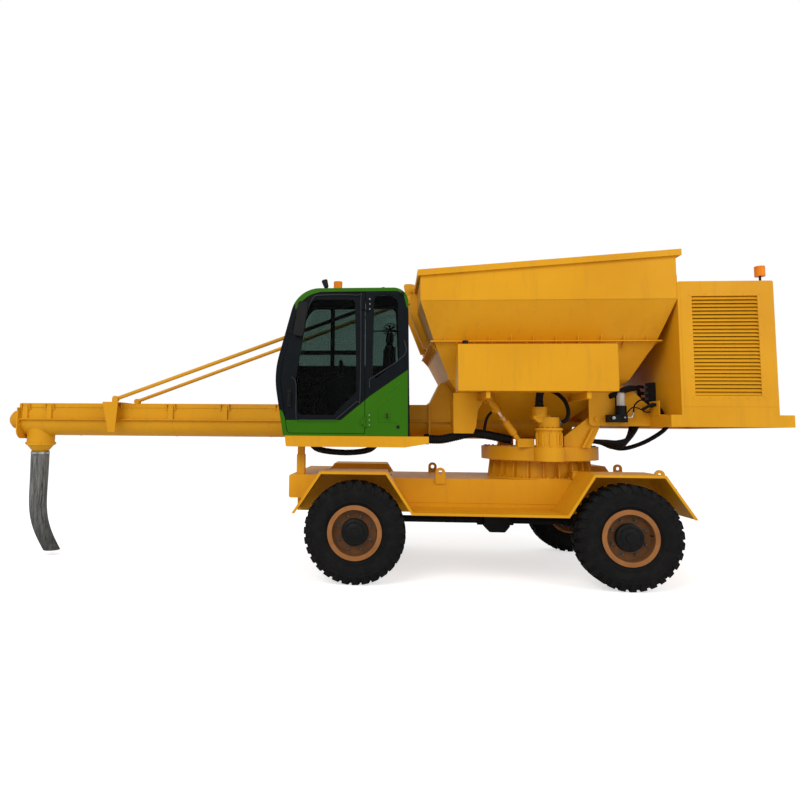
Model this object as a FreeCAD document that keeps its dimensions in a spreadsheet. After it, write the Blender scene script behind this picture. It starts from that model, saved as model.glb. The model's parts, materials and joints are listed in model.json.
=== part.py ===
"""Wheeled concrete placing boom: a hopper, screw trough, cab and engine on a slewing turntable.

Millimetres. +X points to the rear (engine) end, +Y to the machine's right, +Z up. The origin is on
the ground, under the middle of the machine's overall length and width. Heights are above the
ground, and lengths named "behind" or "ahead" are measured from the slewing axis.
"""
import FreeCAD, Part
import math
import os
import re

import Sketcher

Vector = FreeCAD.Vector

SIZES = [
    # overall
    ("front_reach", 7050, "slewing axis to the nose of the boom's drive"),
    ("rear_reach", 2410, "slewing axis to the rear edge of the engine deck"),
    ("slew_behind_mid", 818, "slewing axis behind the middle of the wheelbase"),
    ("seat_gap", 0.3, "gap between pieces of different bodies that seat on each other"),
    ("running_gap", 0.05, "radial clearance of a shaft in its bore"),
    ("moving_gap", 8, "clearance between pieces that move past each other"),
    # wheels and axles
    ("wheelbase", 2939, "front to rear wheel centres"),
    ("half_track", 1130, "centreline to the middle of a tyre"),
    ("tyre_radius", 563, "13R22.5 tyre"),
    ("tyre_width", 320, "section width"),
    ("bead_radius", 286, "22.5 inch bead seat"),
    ("rim_width", 248, "between the rim's flanges"),
    ("flange_radius", 300, "outer radius of a rim flange"),
    ("flange_thick", 12, "thickness of a rim flange"),
    ("rim_wall", 14, "thickness of the rim's barrel and disc"),
    ("disc_inset", 95, "rim's outer flange to its disc"),
    ("hub_radius", 145, "wheel hub"),
    ("hub_stand", 62, "hub beyond the disc"),
    ("spindle_radius", 55, "stub axle in the hub"),
    ("spindle_depth", 70, "how far the stub axle reaches into the hub"),
    ("kingpin_out", 910, "centreline to a kingpin"),
    ("kingpin_radius", 22, "kingpin"),
    ("boss_radius", 44, "axle end boss round the kingpin"),
    ("boss_height", 120, "axle end boss"),
    ("ear_thick", 46, "knuckle ear"),
    ("knuckle_face", 960, "centreline to the knuckle's flange"),
    ("knuckle_thick", 28, "knuckle's flange"),
    ("knuckle_half", 62, "half the knuckle's width"),
    ("arm_back", 300, "kingpin to tie rod pin, rearwards"),
    ("arm_in", 0, "kingpin to tie rod pin, inwards"),
    ("arm_height", 435, "middle of the tie rod"),
    ("arm_thick", 22, "steering arm"),
    ("tie_radius", 17, "tie rod"),
    ("tie_pin_radius", 12, "tie rod pins"),
    ("tie_eye_radius", 27, "tie rod eyes"),
    ("axle_radius", 72, "axle tubes"),
    ("axle_end_radius", 52, "outer end of an axle tube"),
    ("diff_radius", 168, "differential housing"),
    ("diff_half", 150, "half the width of the differential housing"),
    ("diff_nose", 300, "axle centre to the end of the differential's nose"),
    ("axle_mount_out", 595, "centreline to an axle mount"),
    ("axle_mount_wide", 110, "axle mount"),
    ("axle_mount_long", 300, "axle mount, fore and aft"),
    # chassis
    ("deck_top", 1122, "chassis deck"),
    ("web_bottom", 727, "lower edge of the chassis webs"),
    ("web_half", 650, "centreline to the outside of a web"),
    ("plate", 14, "chassis plate"),
    ("chassis_front", 2250, "mid wheelbase to the front face"),
    ("chassis_rear", 2105, "mid wheelbase to the rear face"),
    ("nose_top", 1170, "front cross box"),
    ("nose_bottom", 904, "underside of the front cross box"),
    ("nose_half", 950, "half the width of the front cross box"),
    ("member_long", 90, "cross member, fore and aft"),
    ("member_bottom", 807, "underside of the cross members"),
    # fender bands
    ("band_edge", 1250, "centreline to the outer edge of a fender band"),
    ("band_plate", 10, "fender band plate"),
    ("lip_tall", 28, "stiffened outer edge"),
    ("lip_thick", 8, "thickness of the stiffened edge"),
    ("arch_top", 1226, "top of the arches"),
    ("board_top", 790, "running board between the wheels"),
    ("arch_outer_top", 392, "wheel centre to the outer top corner"),
    ("arch_outer_foot", 702, "wheel centre to the foot of the outer flap"),
    ("arch_inner_top", 357, "wheel centre to the inner top corner"),
    ("arch_inner_foot", 643, "wheel centre to the end of the running board"),
    ("flap_foot", 762, "foot of the outer flaps"),
    # lifting lugs, rest post
    ("lug_front", 1302, "slewing axis to the front lifting lugs"),
    ("lug_rear", 1215, "slewing axis to the rear lifting lugs"),
    ("lug_plate", 22, "lifting lug"),
    ("lug_half", 58, "half the width of a lifting lug"),
    ("lug_eye_height", 1195, "lifting eye"),
    ("lug_bore", 24, "radius of a lifting eye"),
    ("post_ahead", 2940, "slewing axis to the rest post"),
    ("post_out", 860, "centreline to the rest post"),
    ("post_sleeve", 96, "width of the rest post's sleeve"),
    ("post_wall", 8, "wall of the sleeve"),
    ("post_sleeve_top", 1401, "top of the sleeve"),
    ("post_top", 1489, "top of the sliding tube"),
    # drive line
    ("gearbox_ahead", 560, "slewing axis to the middle of the transfer box"),
    ("gearbox_long", 310, "transfer box"),
    ("gearbox_wide", 340, "transfer box"),
    ("gearbox_bottom", 432, "underside of the transfer box"),
    ("shaft_radius", 42, "propeller shafts"),
    # slewing
    ("drum_base_radius", 648, "base flange of the slewing pedestal"),
    ("drum_top_radius", 622, "top flange of the slewing pedestal"),
    ("drum_wall_radius", 560, "outside of the pedestal's wall"),
    ("drum_bore", 530, "inside of the pedestal"),
    ("drum_flange", 16, "pedestal flanges"),
    ("drum_top", 1345, "top of the pedestal"),
    ("rib_count", 22, "pedestal ribs"),
    ("rib_thick", 10, "pedestal rib"),
    ("cover_radius", 715, "turntable"),
    ("cover_top", 1507, "top of the turntable"),
    ("cover_plate", 20, "turntable top plate"),
    ("cover_wall", 14, "turntable skirt"),
    ("bearing_radius", 640, "slewing bearing"),
    ("swivel_radius", 150, "hole for the rotary union"),
    ("drive_out", 722, "centreline to the slewing drive"),
    ("drive_ahead", 45, "slewing axis to the slewing drive"),
    ("lobe_radius", 172, "bulge round the pinion"),
    ("drive_base_radius", 146, "slewing gearbox"),
    ("drive_base_top", 1703, "top of the slewing gearbox"),
    ("drive_flange_top", 1729, "gearbox flange"),
    ("drive_mid_top", 1853, "top of the reduction housing"),
    ("drive_mid_radius", 118, "reduction housing"),
    ("motor_ahead", 104, "reduction housing to the hydraulic motor"),
    ("motor_radius", 88, "hydraulic motor"),
    ("motor_top", 1973, "top of the hydraulic motor"),
    # luffing
    ("pivot_behind", 526, "slewing axis to the luffing pivot"),
    ("pivot_height", 1837, "luffing pivot"),
    ("pivot_pin", 30, "radius of the luffing pins"),
    ("pivot_lug_in", 560, "inner face of the turntable lugs"),
    ("pivot_lug_out", 624, "outer face of the turntable lugs"),
    ("lug_foot_front", 155, "slewing axis to the front of a lug's foot"),
    ("lug_foot_rear", 456, "slewing axis to the rear of a lug's foot"),
    ("ram_foot_ahead", 354, "slewing axis to the lower ram pin"),
    ("ram_foot_height", 1559, "lower ram pin"),
    ("ram_head_ahead", 714, "slewing axis to the upper ram pin"),
    ("ram_head_height", 2073, "upper ram pin"),
    ("ram_out", 620, "centreline to the rams"),
    ("ram_pin", 20, "radius of the ram pins"),
    ("ram_eye", 42, "outer radius of a ram eye"),
    ("ram_eye_half", 35, "half the width of a ram eye"),
    ("ram_eye_gap", 5, "play of the rod's eye round its pin"),
    ("barrel_radius", 44, "ram barrel"),
    ("barrel_long", 190, "upper pin to the mouth of the barrel"),
    ("rod_radius", 30, "ram rod"),
    ("collar_radius", 44, "sleeve of the rod's eye"),
    ("collar_long", 290, "sleeve of the rod's eye"),
    ("collar_neck", 121, "foot pin to the sleeve of the rod"),
    ("rod_inside", 110, "rod inside the barrel"),
    ("clevis_plate", 16, "ram clevis cheeks"),
    # upper frame
    ("side_in", 634, "inner face of the upper frame's side plates"),
    ("side_plate", 26, "side plates"),
    ("side_bottom", 1759, "lower edge of the side plates"),
    ("side_front", 438, "slewing axis to the front of the side plates"),
    ("deck_front", 1135, "slewing axis to the front of the engine deck"),
    ("deck_bottom", 1749, "underside of the engine deck"),
    ("engine_deck_top", 1879, "top of the engine deck"),
    ("deck_half", 1200, "half the width of the engine deck"),
    # engine housing
    ("house_front", 1250, "slewing axis to the front of the engine housing"),
    ("house_rear", 2258, "slewing axis to the rear of the engine housing"),
    ("house_top", 3347, "top of the engine housing"),
    ("house_wall", 30, "housing wall"),
    ("louvre_front", 1352, "slewing axis to the front of the louvres"),
    ("louvre_rear", 2133, "slewing axis to the rear of the louvres"),
    ("louvre_bottom", 2042, "foot of the louvres"),
    ("louvre_top", 3227, "head of the louvres"),
    ("louvre_border", 45, "frame round the louvres"),
    ("louvre_count", 27, "louvre blades"),
    ("blade_thick", 6, "louvre blade"),
    # hopper
    ("hopper_wall", 12, "hopper plate"),
    ("rim_front_ahead", 1589, "slewing axis to the front edge of the rim"),
    ("rim_rear_behind", 1296, "slewing axis to the rear edge of the rim"),
    ("rim_front_top", 3504, "top of the rim at the front"),
    ("rim_rear_top", 3705, "top of the rim at the rear"),
    ("rim_tall", 68, "rim band"),
    ("rim_out", 34, "rim band beyond the wall"),
    ("fold_height", 3157, "foot of the upright walls"),
    ("fold_front", 1555, "slewing axis to the front wall"),
    ("fold_rear", 1246, "slewing axis to the rear wall"),
    ("fold_half", 1200, "half the width of the upright walls"),
    ("ledge_height", 2714, "bolted joint of the hopper"),
    ("ledge_front", 1385, "front of the bolted joint"),
    ("ledge_rear", 1113, "rear of the bolted joint"),
    ("ledge_half", 950, "half the width of the bolted joint"),
    ("ledge_out", 46, "bolting flange beyond the wall"),
    ("ledge_thick", 14, "bolting flange"),
    ("cheek_out", 654, "outer face of the cheek plates beside the throat"),
    ("cheek_plate", 16, "cheek plates"),
    ("cheek_front", 1133, "slewing axis to the front of the cheek plates"),
    ("cheek_bottom", 1660, "foot of the cheek plates"),
    ("channel_out", 90, "stay channels beyond the front wall"),
    ("channel_wide", 76, "stay channels"),
    ("waist_height", 2297, "waist of the funnel"),
    ("waist_front", 1196, "front of the waist"),
    ("waist_rear", 893, "rear of the waist"),
    ("waist_half", 700, "half the width of the waist"),
    ("throat_front", 790, "front of the throat"),
    ("throat_rear", 280, "rear of the throat"),
    ("throat_half", 235, "half the width of the throat"),
    # screw trough and boom
    ("trough_half", 207, "outside of the trough"),
    ("trough_wall", 10, "trough plate"),
    ("trough_axis", 1799, "middle of the screw and top of the trough's flange line"),
    ("trough_flange", 40, "trough flange beyond the wall"),
    ("trough_flange_thick", 12, "trough flange"),
    ("trough_rear", 372, "slewing axis to the rear end of the trough"),
    ("root_ahead", 1400, "slewing axis to the bolted root flange"),
    ("root_flange", 14, "root flange"),
    ("root_flange_out", 52, "root flange beyond the trough"),
    ("end_flange_ahead", 6835, "slewing axis to the end flange"),
    ("end_flange", 16, "end flange"),
    ("lid_bottom", 1962, "lower edge of the lid"),
    ("lid_top", 2017, "top of the lid"),
    ("lid_plate", 8, "lid plate"),
    ("clamp_pitch", 720, "lid clamps along the boom"),
    ("clamp_first_ahead", 1880, "slewing axis to the first lid clamp"),
    ("clamp_count", 6, "lid clamps a side"),
    ("clamp_wide", 64, "lid clamp"),
    ("clamp_tab", 140, "tab of the lid over a clamp"),
    ("end_clamp_ahead", 6410, "slewing axis to the clamp beside the spout"),
    ("last_clamp_ahead", 6740, "slewing axis to the clamp at the end flange"),
    ("end_drive_radius", 118, "screw drive on the end flange"),
    ("screw_radius", 185, "feed screw"),
    ("screw_shaft", 42, "feed screw shaft"),
    ("screw_pitch", 300, "feed screw"),
    ("screw_front", 1340, "slewing axis to the front of the flight"),
    ("screw_rear", 255, "slewing axis to the rear of the flight"),
    ("flight_thick", 12, "flight plate"),
    ("flight_steps", 14, "flats in one turn of the flight"),
    # yoke and stays
    ("yoke_ahead", 5450, "slewing axis to the yoke"),
    ("yoke_half", 372, "centreline to a stay's lower pin"),
    ("yoke_pin_height", 2071, "stay's lower pin"),
    ("yoke_long", 202, "yoke, fore and aft"),
    ("yoke_lean", 75, "how far the yoke's foot is behind its top"),
    ("yoke_plate", 16, "yoke plates"),
    ("stay_head_ahead", 1641, "slewing axis to the stay's upper pin"),
    ("stay_head_height", 3462, "stay's upper pin"),
    ("stay_head_half", 320, "centreline to a stay's upper pin"),
    ("stay_radius", 24, "stay"),
    # spout and hose
    ("spout_ahead", 6636, "slewing axis to the discharge spout"),
    ("spout_radius", 175, "spout at the boom"),
    ("spout_mouth", 97, "outside of the spout's mouth"),
    ("spout_wall", 10, "spout plate"),
    ("spout_band", 1471, "clamp ring of the spout"),
    ("spout_bottom", 1327, "mouth of the spout"),
    ("hose_bottom", 69, "lower edge of the discharge hose"),
    ("hose_wall", 12, "discharge hose"),
    ("hose_swing", 225, "how far the hose's foot hangs to the rear"),
    # hydraulic hoses
    ("conduit_radius", 57, "ribbed conduit"),
    ("conduit_out", 400, "centreline to the ribbed conduit"),
    ("loom_radius", 36, "hoses under the cab platform"),
    ("feed_hose_radius", 27, "hoses to the engine deck"),
    ("feed_hose_out", 520, "centreline to the outermost hose to the engine deck"),
    ("feed_hose_pitch", 66, "one hose to the next"),
    # tanks
    ("tank_front", 1146, "slewing axis to the front of the tanks"),
    ("tank_rear", 576, "slewing axis to the rear of the tanks"),
    ("tank_bottom", 2131, "underside of the tanks"),
    ("tank_top", 2647, "top of the tanks"),
    ("tank_out", 1250, "outer face of the tanks"),
    ("tank_in", 960, "inner face of the tanks"),
    ("bracket_front", 817, "slewing axis to the front tank bracket"),
    ("bracket_rear", 271, "slewing axis to the rear tank bracket"),
    ("bracket_wide", 46, "tank bracket"),
    ("bracket_tall", 82, "tank bracket"),
    # cab
    ("beam_front", 3085, "slewing axis to the front of the cab platform"),
    ("beam_rear", 1470, "slewing axis to the rear of the cab platform"),
    ("beam_bottom", 1497, "underside of the cab platform"),
    ("beam_top", 1619, "top of the cab platform"),
    ("cab_out", 1200, "outer face of the cab"),
    ("cab_in", 345, "inner face of the cab"),
    ("cab_wall", 45, "cab panels"),
    ("cab_roof", 3307, "top of the cab"),
    ("cab_rear", 1680, "slewing axis to the rear of the cab"),
    ("cab_front", 3105, "slewing axis to the foot of the cab's front"),
    ("cab_nose", 3222, "slewing axis to the fullest point of the windscreen"),
    ("cab_brow", 2960, "slewing axis to the windscreen's head"),
    ("door_hinge", 2186, "slewing axis to the door's hinge line"),
    ("door_gap", 6, "gap round the door"),
    ("hinge_out", 14, "hinge line beyond the cab's face"),
    ("hinge_pin", 7, "door hinge pin"),
    ("hinge_tall", 60, "door's hinge eye"),
    ("pane", 6, "cab glass"),
]

doc = FreeCAD.newDocument("placing_boom")
sheet = doc.addObject("Spreadsheet::Sheet", "size")
sheet.Label = "size"
ALIASES = {alias for alias, _, _ in SIZES}
for row, (alias, number, note) in enumerate(SIZES, start=1):
    sheet.set(f"A{row}", alias)
    sheet.set(f"B{row}", str(number))
    sheet.set(f"C{row}", note)
    sheet.setAlias(f"B{row}", alias)
doc.recompute()

DERIVED = {
    "cab_floor": "(beam_top + seat_gap)",
    "hose_top": "(spout_bottom + 50)",
    "post_tube": "(post_sleeve - 2 * post_wall - 2 * seat_gap)",
    "throat_top": "(trough_axis + trough_flange_thick)",
}
SLEW = "((front_reach - rear_reach) / 2)"
MID = f"({SLEW} - slew_behind_mid)"
FRONT_WHEEL = f"({MID} - wheelbase / 2)"
REAR_WHEEL = f"({MID} + wheelbase / 2)"
PIVOT = f"({SLEW} + pivot_behind)"
CAB_MID = "((cab_out + cab_in) / 2)"
NODES = []


# ---- helpers: expressions, sketches, features -------------------------------------------------

def bound(text):
    """The expression with each size's name looked up in the sheet."""
    text = re.sub(r"[a-z_]+", lambda m: DERIVED.get(m[0], m[0]), str(text))
    return re.sub(r"[a-z_]+", lambda m: "size." + m[0] if m[0] in ALIASES else m[0], text)


def value(text):
    """What an expression is worth now."""
    return float(sheet.evalExpression(bound(text)))


def bind(thing, prop, text):
    """Tie a property to an expression, or set it where the text is only a number."""
    thing.setExpression(prop, bound(text))


def ahead(distance):
    return f"({SLEW} - ({distance}))"


def behind(distance):
    return f"({SLEW} + ({distance}))"


def node(thing, label):
    """Name a finished sub-part."""
    thing.Label = label
    NODES.append(thing)
    return thing


def place(thing, x="0", y="0", z="0", rotation=None):
    thing.Placement = FreeCAD.Placement(Vector(), rotation or FreeCAD.Rotation())
    for axis, text in zip("xyz", (x, y, z)):
        bind(thing, f"Placement.Base.{axis}", text)
    return thing


def block(x, y, z):
    """A box between two expressions along each axis."""
    thing = doc.addObject("Part::Box", "block")
    for prop, (low, high) in zip(("Length", "Width", "Height"), (x, y, z)):
        bind(thing, prop, f"({high}) - ({low})")
    return place(thing, x[0], y[0], z[0])


TURNS = {
    "X": FreeCAD.Rotation(Vector(0, 1, 0), 90),
    "Y": FreeCAD.Rotation(Vector(1, 0, 0), -90),
    "Z": FreeCAD.Rotation(),
}


def rod(axis, start, length, radius):
    """A cylinder from a start point along +X, +Y or +Z."""
    thing = doc.addObject("Part::Cylinder", "rod")
    bind(thing, "Radius", radius)
    bind(thing, "Height", length)
    return place(thing, *start, rotation=TURNS[axis])


def tube(axis, start, length, radius, bore):
    return cut(rod(axis, start, length, radius), rod(axis, start, length, bore))


def fuse(*things, refine=True):
    if len(things) == 1:
        return things[0]
    joined = doc.addObject("Part::MultiFuse", "joined")
    joined.Shapes = list(things)
    joined.Refine = refine
    return joined


def cut(base, *tools):
    result = doc.addObject("Part::Cut", "trimmed")
    result.Base = base
    result.Tool = fuse(*tools)
    return result


def common(first, second):
    result = doc.addObject("Part::Common", "overlap")
    result.Base = first
    result.Tool = second
    return result


def group(*things):
    result = doc.addObject("Part::Compound", "group")
    result.Links = list(things)
    return result


def mirrored(source):
    """The same piece on the machine's other side."""
    result = doc.addObject("Part::Mirroring", "mirrored")
    result.Source = source
    result.Normal = Vector(0, 1, 0)
    return result


def both_sides(thing):
    return group(thing, mirrored(thing))


def body(label="body"):
    return doc.addObject("PartDesign::Body", label)


def corner_geometry(points):
    """Straight sides and tangent arcs of a closed outline, as (kind, geometry, corner index)."""
    count = len(points)
    starts, ends, arcs = [None] * count, [None] * count, []
    for i, (u, v, radius) in enumerate(points):
        here = Vector(u, v, 0)
        back = (Vector(*points[i - 1][:2], 0) - here).normalize()
        forth = (Vector(*points[(i + 1) % count][:2], 0) - here).normalize()
        if not radius:
            starts[i], ends[i] = here, here
            continue
        half = back.getAngle(forth) / 2
        reach = radius / math.tan(half)
        centre = here + (back + forth).normalize() * (radius / math.sin(half))
        starts[i], ends[i] = here + forth * reach, here + back * reach
        left_turn = back.cross(forth).z < 0
        first, last = (ends[i], starts[i]) if left_turn else (starts[i], ends[i])
        angles = [math.atan2(*(p - centre)[1::-1]) for p in (first, last)]
        if angles[1] < angles[0]:
            angles[1] += 2 * math.pi
        arc = Part.ArcOfCircle(Part.Circle(centre, Vector(0, 0, 1), radius), *angles)
        arcs.append((i, arc, left_turn))
    sides = [Part.LineSegment(starts[i], ends[(i + 1) % count]) for i in range(count)]
    return sides, arcs


def outline(holder, role, corners, start="0"):
    """A closed sketch on an origin plane. A corner is (u, v) or (u, v, radius), as expressions."""
    sketch = holder.newObject("Sketcher::SketchObject", "outline")
    planes = [item for item in holder.Origin.OriginFeatures if item.Role == role]
    sketch.AttachmentSupport = [(planes[0], "")]
    sketch.MapMode = "FlatFace"
    bind(sketch, "AttachmentOffset.Base.z", start)
    corners = [(*corner, "0")[:3] for corner in corners]
    sides, arcs = corner_geometry([[value(text) for text in corner] for corner in corners])
    sketch.addGeometry(sides, False)
    rounded = {}
    for i, arc, left_turn in arcs:
        rounded[i] = (sketch.addGeometry(arc, False), left_turn)
    count = len(corners)

    def fix(kind, *where, text):
        index = sketch.addConstraint(Sketcher.Constraint(kind, *where, value(text)))
        sketch.setExpression(f"Constraints[{index}]", bound(text))

    for i, (u, v, radius) in enumerate(corners):
        before = (i - 1) % count
        if i in rounded:
            arc, left_turn = rounded[i]
            tip = sketch.addGeometry(Part.Point(Vector(value(u), value(v), 0)), True)
            first, last = (1, 2) if left_turn else (2, 1)
            sketch.addConstraint(Sketcher.Constraint("Tangent", before, 2, arc, first))
            sketch.addConstraint(Sketcher.Constraint("Tangent", arc, last, i, 1))
            sketch.addConstraint(Sketcher.Constraint("PointOnObject", tip, 1, before))
            sketch.addConstraint(Sketcher.Constraint("PointOnObject", tip, 1, i))
            fix("Radius", arc, text=radius)
            fix("DistanceX", -1, 1, tip, 1, text=u)
            fix("DistanceY", -1, 1, tip, 1, text=v)
        else:
            sketch.addConstraint(Sketcher.Constraint("Coincident", before, 2, i, 1))
            fix("DistanceX", -1, 1, i, 1, text=u)
            fix("DistanceY", -1, 1, i, 1, text=v)
    return sketch


def pad(holder, role, corners, start, length):
    feature = holder.newObject("PartDesign::Pad", "pad")
    feature.Profile = outline(holder, role, corners, start)
    bind(feature, "Length", length)
    return feature


def pocket(holder, role, corners, start, length):
    """Cut along the plane's normal from start."""
    feature = holder.newObject("PartDesign::Pocket", "pocket")
    feature.Profile = outline(holder, role, corners, start)
    feature.Reversed = True
    bind(feature, "Length", length)
    return feature


def side_slab(corners, low, high):
    """An outline in X and Z, padded from low to high, both measured towards -Y."""
    holder = body()
    pad(holder, "XZ_Plane", corners, low, f"({high}) - ({low})")
    return holder


def end_slab(corners, low, high):
    """An outline in Y and Z, padded from low to high along X."""
    holder = body()
    pad(holder, "YZ_Plane", corners, low, f"({high}) - ({low})")
    return holder


def plan_slab(corners, low, high):
    """An outline in X and Y, padded from low to high along Z."""
    holder = body()
    pad(holder, "XY_Plane", corners, low, f"({high}) - ({low})")
    return holder


def turned(corners, axis="V_Axis"):
    """A body turned from an outline in X (radius) and Z about Z, or in Y and Z about Y."""
    holder = body()
    role = "XZ_Plane" if axis == "V_Axis" else "YZ_Plane"
    sketch = outline(holder, role, corners)
    feature = holder.newObject("PartDesign::Revolution", "turned")
    feature.Profile = sketch
    feature.ReferenceAxis = (sketch, [axis])
    feature.Angle = 360
    return holder


def rectangle(u, v):
    return [(u[0], v[0]), (u[1], v[0]), (u[1], v[1]), (u[0], v[1])]


def strut(start, end, radius, trim_start="0", trim_end="0"):
    """A round bar between two points given as expressions, shortened at its ends."""
    first, last = (Vector(*[value(text) for text in point]) for point in (start, end))
    along = (last - first).normalize()
    thing = doc.addObject("Part::Cylinder", "strut")
    bind(thing, "Radius", radius)
    spans = [f"({end[k]}) - ({start[k]})" for k in range(3)]
    length = "sqrt(" + " + ".join(f"pow({span}; 2)" for span in spans) + ")"
    bind(thing, "Height", f"{length} - ({trim_start}) - ({trim_end})")
    thing.Placement = FreeCAD.Placement(Vector(), FreeCAD.Rotation(Vector(0, 0, 1), along))
    for k, axis in enumerate("xyz"):
        bind(thing, f"Placement.Base.{axis}", f"{start[k]} + ({spans[k]}) / {length} * ({trim_start})")
    return thing


# ---- wheels, axles and steering ------------------------------------------------------------------

def tyre(x, y):
    """A tyre turned about Y, open at its bead."""
    half = "(tyre_width / 2)"
    bead = "(rim_width / 2 - seat_gap)"
    shape = turned([
        (f"-{bead}", "bead_radius + seat_gap"),
        (bead, "bead_radius + seat_gap"),
        (bead, "flange_radius + 6"),
        (half, "(bead_radius + tyre_radius) / 2 + 12", "100"),
        (f"{half} - 12", "tyre_radius - 42"),
        (f"{half} - 26", "tyre_radius - 8"),
        (f"{half} - 46", "tyre_radius"),
        (f"-({half} - 46)", "tyre_radius"),
        (f"-({half} - 26)", "tyre_radius - 8"),
        (f"-({half} - 12)", "tyre_radius - 42"),
        (f"-{half}", "(bead_radius + tyre_radius) / 2 + 12", "100"),
        (f"-{bead}", "flange_radius + 6"),
    ], "H_Axis")
    return place(shape, x, y, "tyre_radius")


def rim(x, y, outward):
    """A dished rim with its hub; outward is 1 on the right and -1 on the left."""
    flange = "(rim_width / 2)"
    edge = f"({flange} + flange_thick)"
    disc = f"({edge} - disc_inset)"
    hub = f"({disc} + hub_stand)"
    half = [
        (f"-{edge}", "bead_radius - rim_wall"),
        (f"-{edge}", "flange_radius"),
        (f"-{flange}", "flange_radius"),
        (f"-{flange}", "bead_radius"),
        (flange, "bead_radius"),
        (flange, "flange_radius"),
        (edge, "flange_radius"),
        (edge, "bead_radius - rim_wall - 22"),
        (disc, "bead_radius - rim_wall - 34"),
        (disc, "hub_radius + 8"),
        (hub, "hub_radius"),
        (f"{hub} + 10", "hub_radius - 22"),
        (f"{hub} + 10", "0"),
        (f"{disc} - rim_wall - 26 + spindle_depth", "0"),
        (f"{disc} - rim_wall - 26 + spindle_depth", "spindle_radius + running_gap"),
        (f"{disc} - rim_wall - 26", "spindle_radius + running_gap"),
        (f"{disc} - rim_wall - 26", "hub_radius - 12"),
        (f"{disc} - rim_wall", "hub_radius"),
        (f"{disc} - rim_wall", "bead_radius - rim_wall - 60"),
        (f"{flange} - 96", "bead_radius - rim_wall"),
    ]
    if outward < 0:
        half = [(f"-({u})", *rest) for u, *rest in reversed(half)]
    return place(turned(half, "H_Axis"), x, y, "tyre_radius")


def wheels():
    for end, x in (("front", FRONT_WHEEL), ("rear", REAR_WHEEL)):
        for side, sign in (("left", -1), ("right", 1)):
            y = f"{sign} * half_track"
            node(tyre(x, y), f"{end}_{side}_tyre")
            node(rim(x, y, sign), f"{end}_{side}_rim")


DISC_BACK = "(half_track + rim_width / 2 + flange_thick - disc_inset - rim_wall)"
STUB_END = f"({DISC_BACK} - 30 + spindle_depth)"


def axle_beam(x, reach, nose):
    """Axle tubes and differential turned about Y, with the nose towards the middle of the machine."""
    beam = turned([
        (f"-({reach})", "0"),
        (f"-({reach})", "axle_end_radius"),
        ("-(diff_half + 190)", "axle_radius"),
        ("-diff_half", "diff_radius", "60"),
        ("diff_half", "diff_radius", "60"),
        ("diff_half + 190", "axle_radius"),
        (reach, "axle_end_radius"),
        (reach, "0"),
    ], "H_Axis")
    place(beam, x, "0", "tyre_radius")
    low, high = (x, f"{x} + diff_nose") if nose > 0 else (f"{x} - diff_nose", x)
    snout = rod("X", (low, "0", "tyre_radius"), f"({high}) - ({low})", "shaft_radius + 34")
    mount = side_slab([
        (f"{x} - axle_mount_long / 2", "web_bottom"),
        (f"{x} - axle_mount_long / 2", "web_bottom - 26"),
        (f"{x} - axle_radius - 16", "tyre_radius - axle_radius - 14"),
        (f"{x} + axle_radius + 16", "tyre_radius - axle_radius - 14"),
        (f"{x} + axle_mount_long / 2", "web_bottom - 26"),
        (f"{x} + axle_mount_long / 2", "web_bottom"),
    ], "axle_mount_out - axle_mount_wide / 2", "axle_mount_out + axle_mount_wide / 2")
    return [beam, snout, mount, mirrored(mount)]


def axles():
    boss_low = "(tyre_radius - boss_height / 2)"
    boss = rod("Z", (FRONT_WHEEL, "-kingpin_out", boss_low), "boss_height", "boss_radius")
    bore = rod("Z", (FRONT_WHEEL, "-kingpin_out", boss_low), "boss_height",
               "kingpin_radius + running_gap")
    front = fuse(*axle_beam(FRONT_WHEEL, "kingpin_out - boss_radius + 8", 1), boss, mirrored(boss))
    node(cut(front, bore, mirrored(bore)), "front_axle")
    stub = rod("Y", (REAR_WHEEL, f"-{STUB_END}", "tyre_radius"), f"2 * {STUB_END}", "spindle_radius")
    node(fuse(*axle_beam(REAR_WHEEL, f"{DISC_BACK} - 46", -1), stub), "rear_axle")


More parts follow.
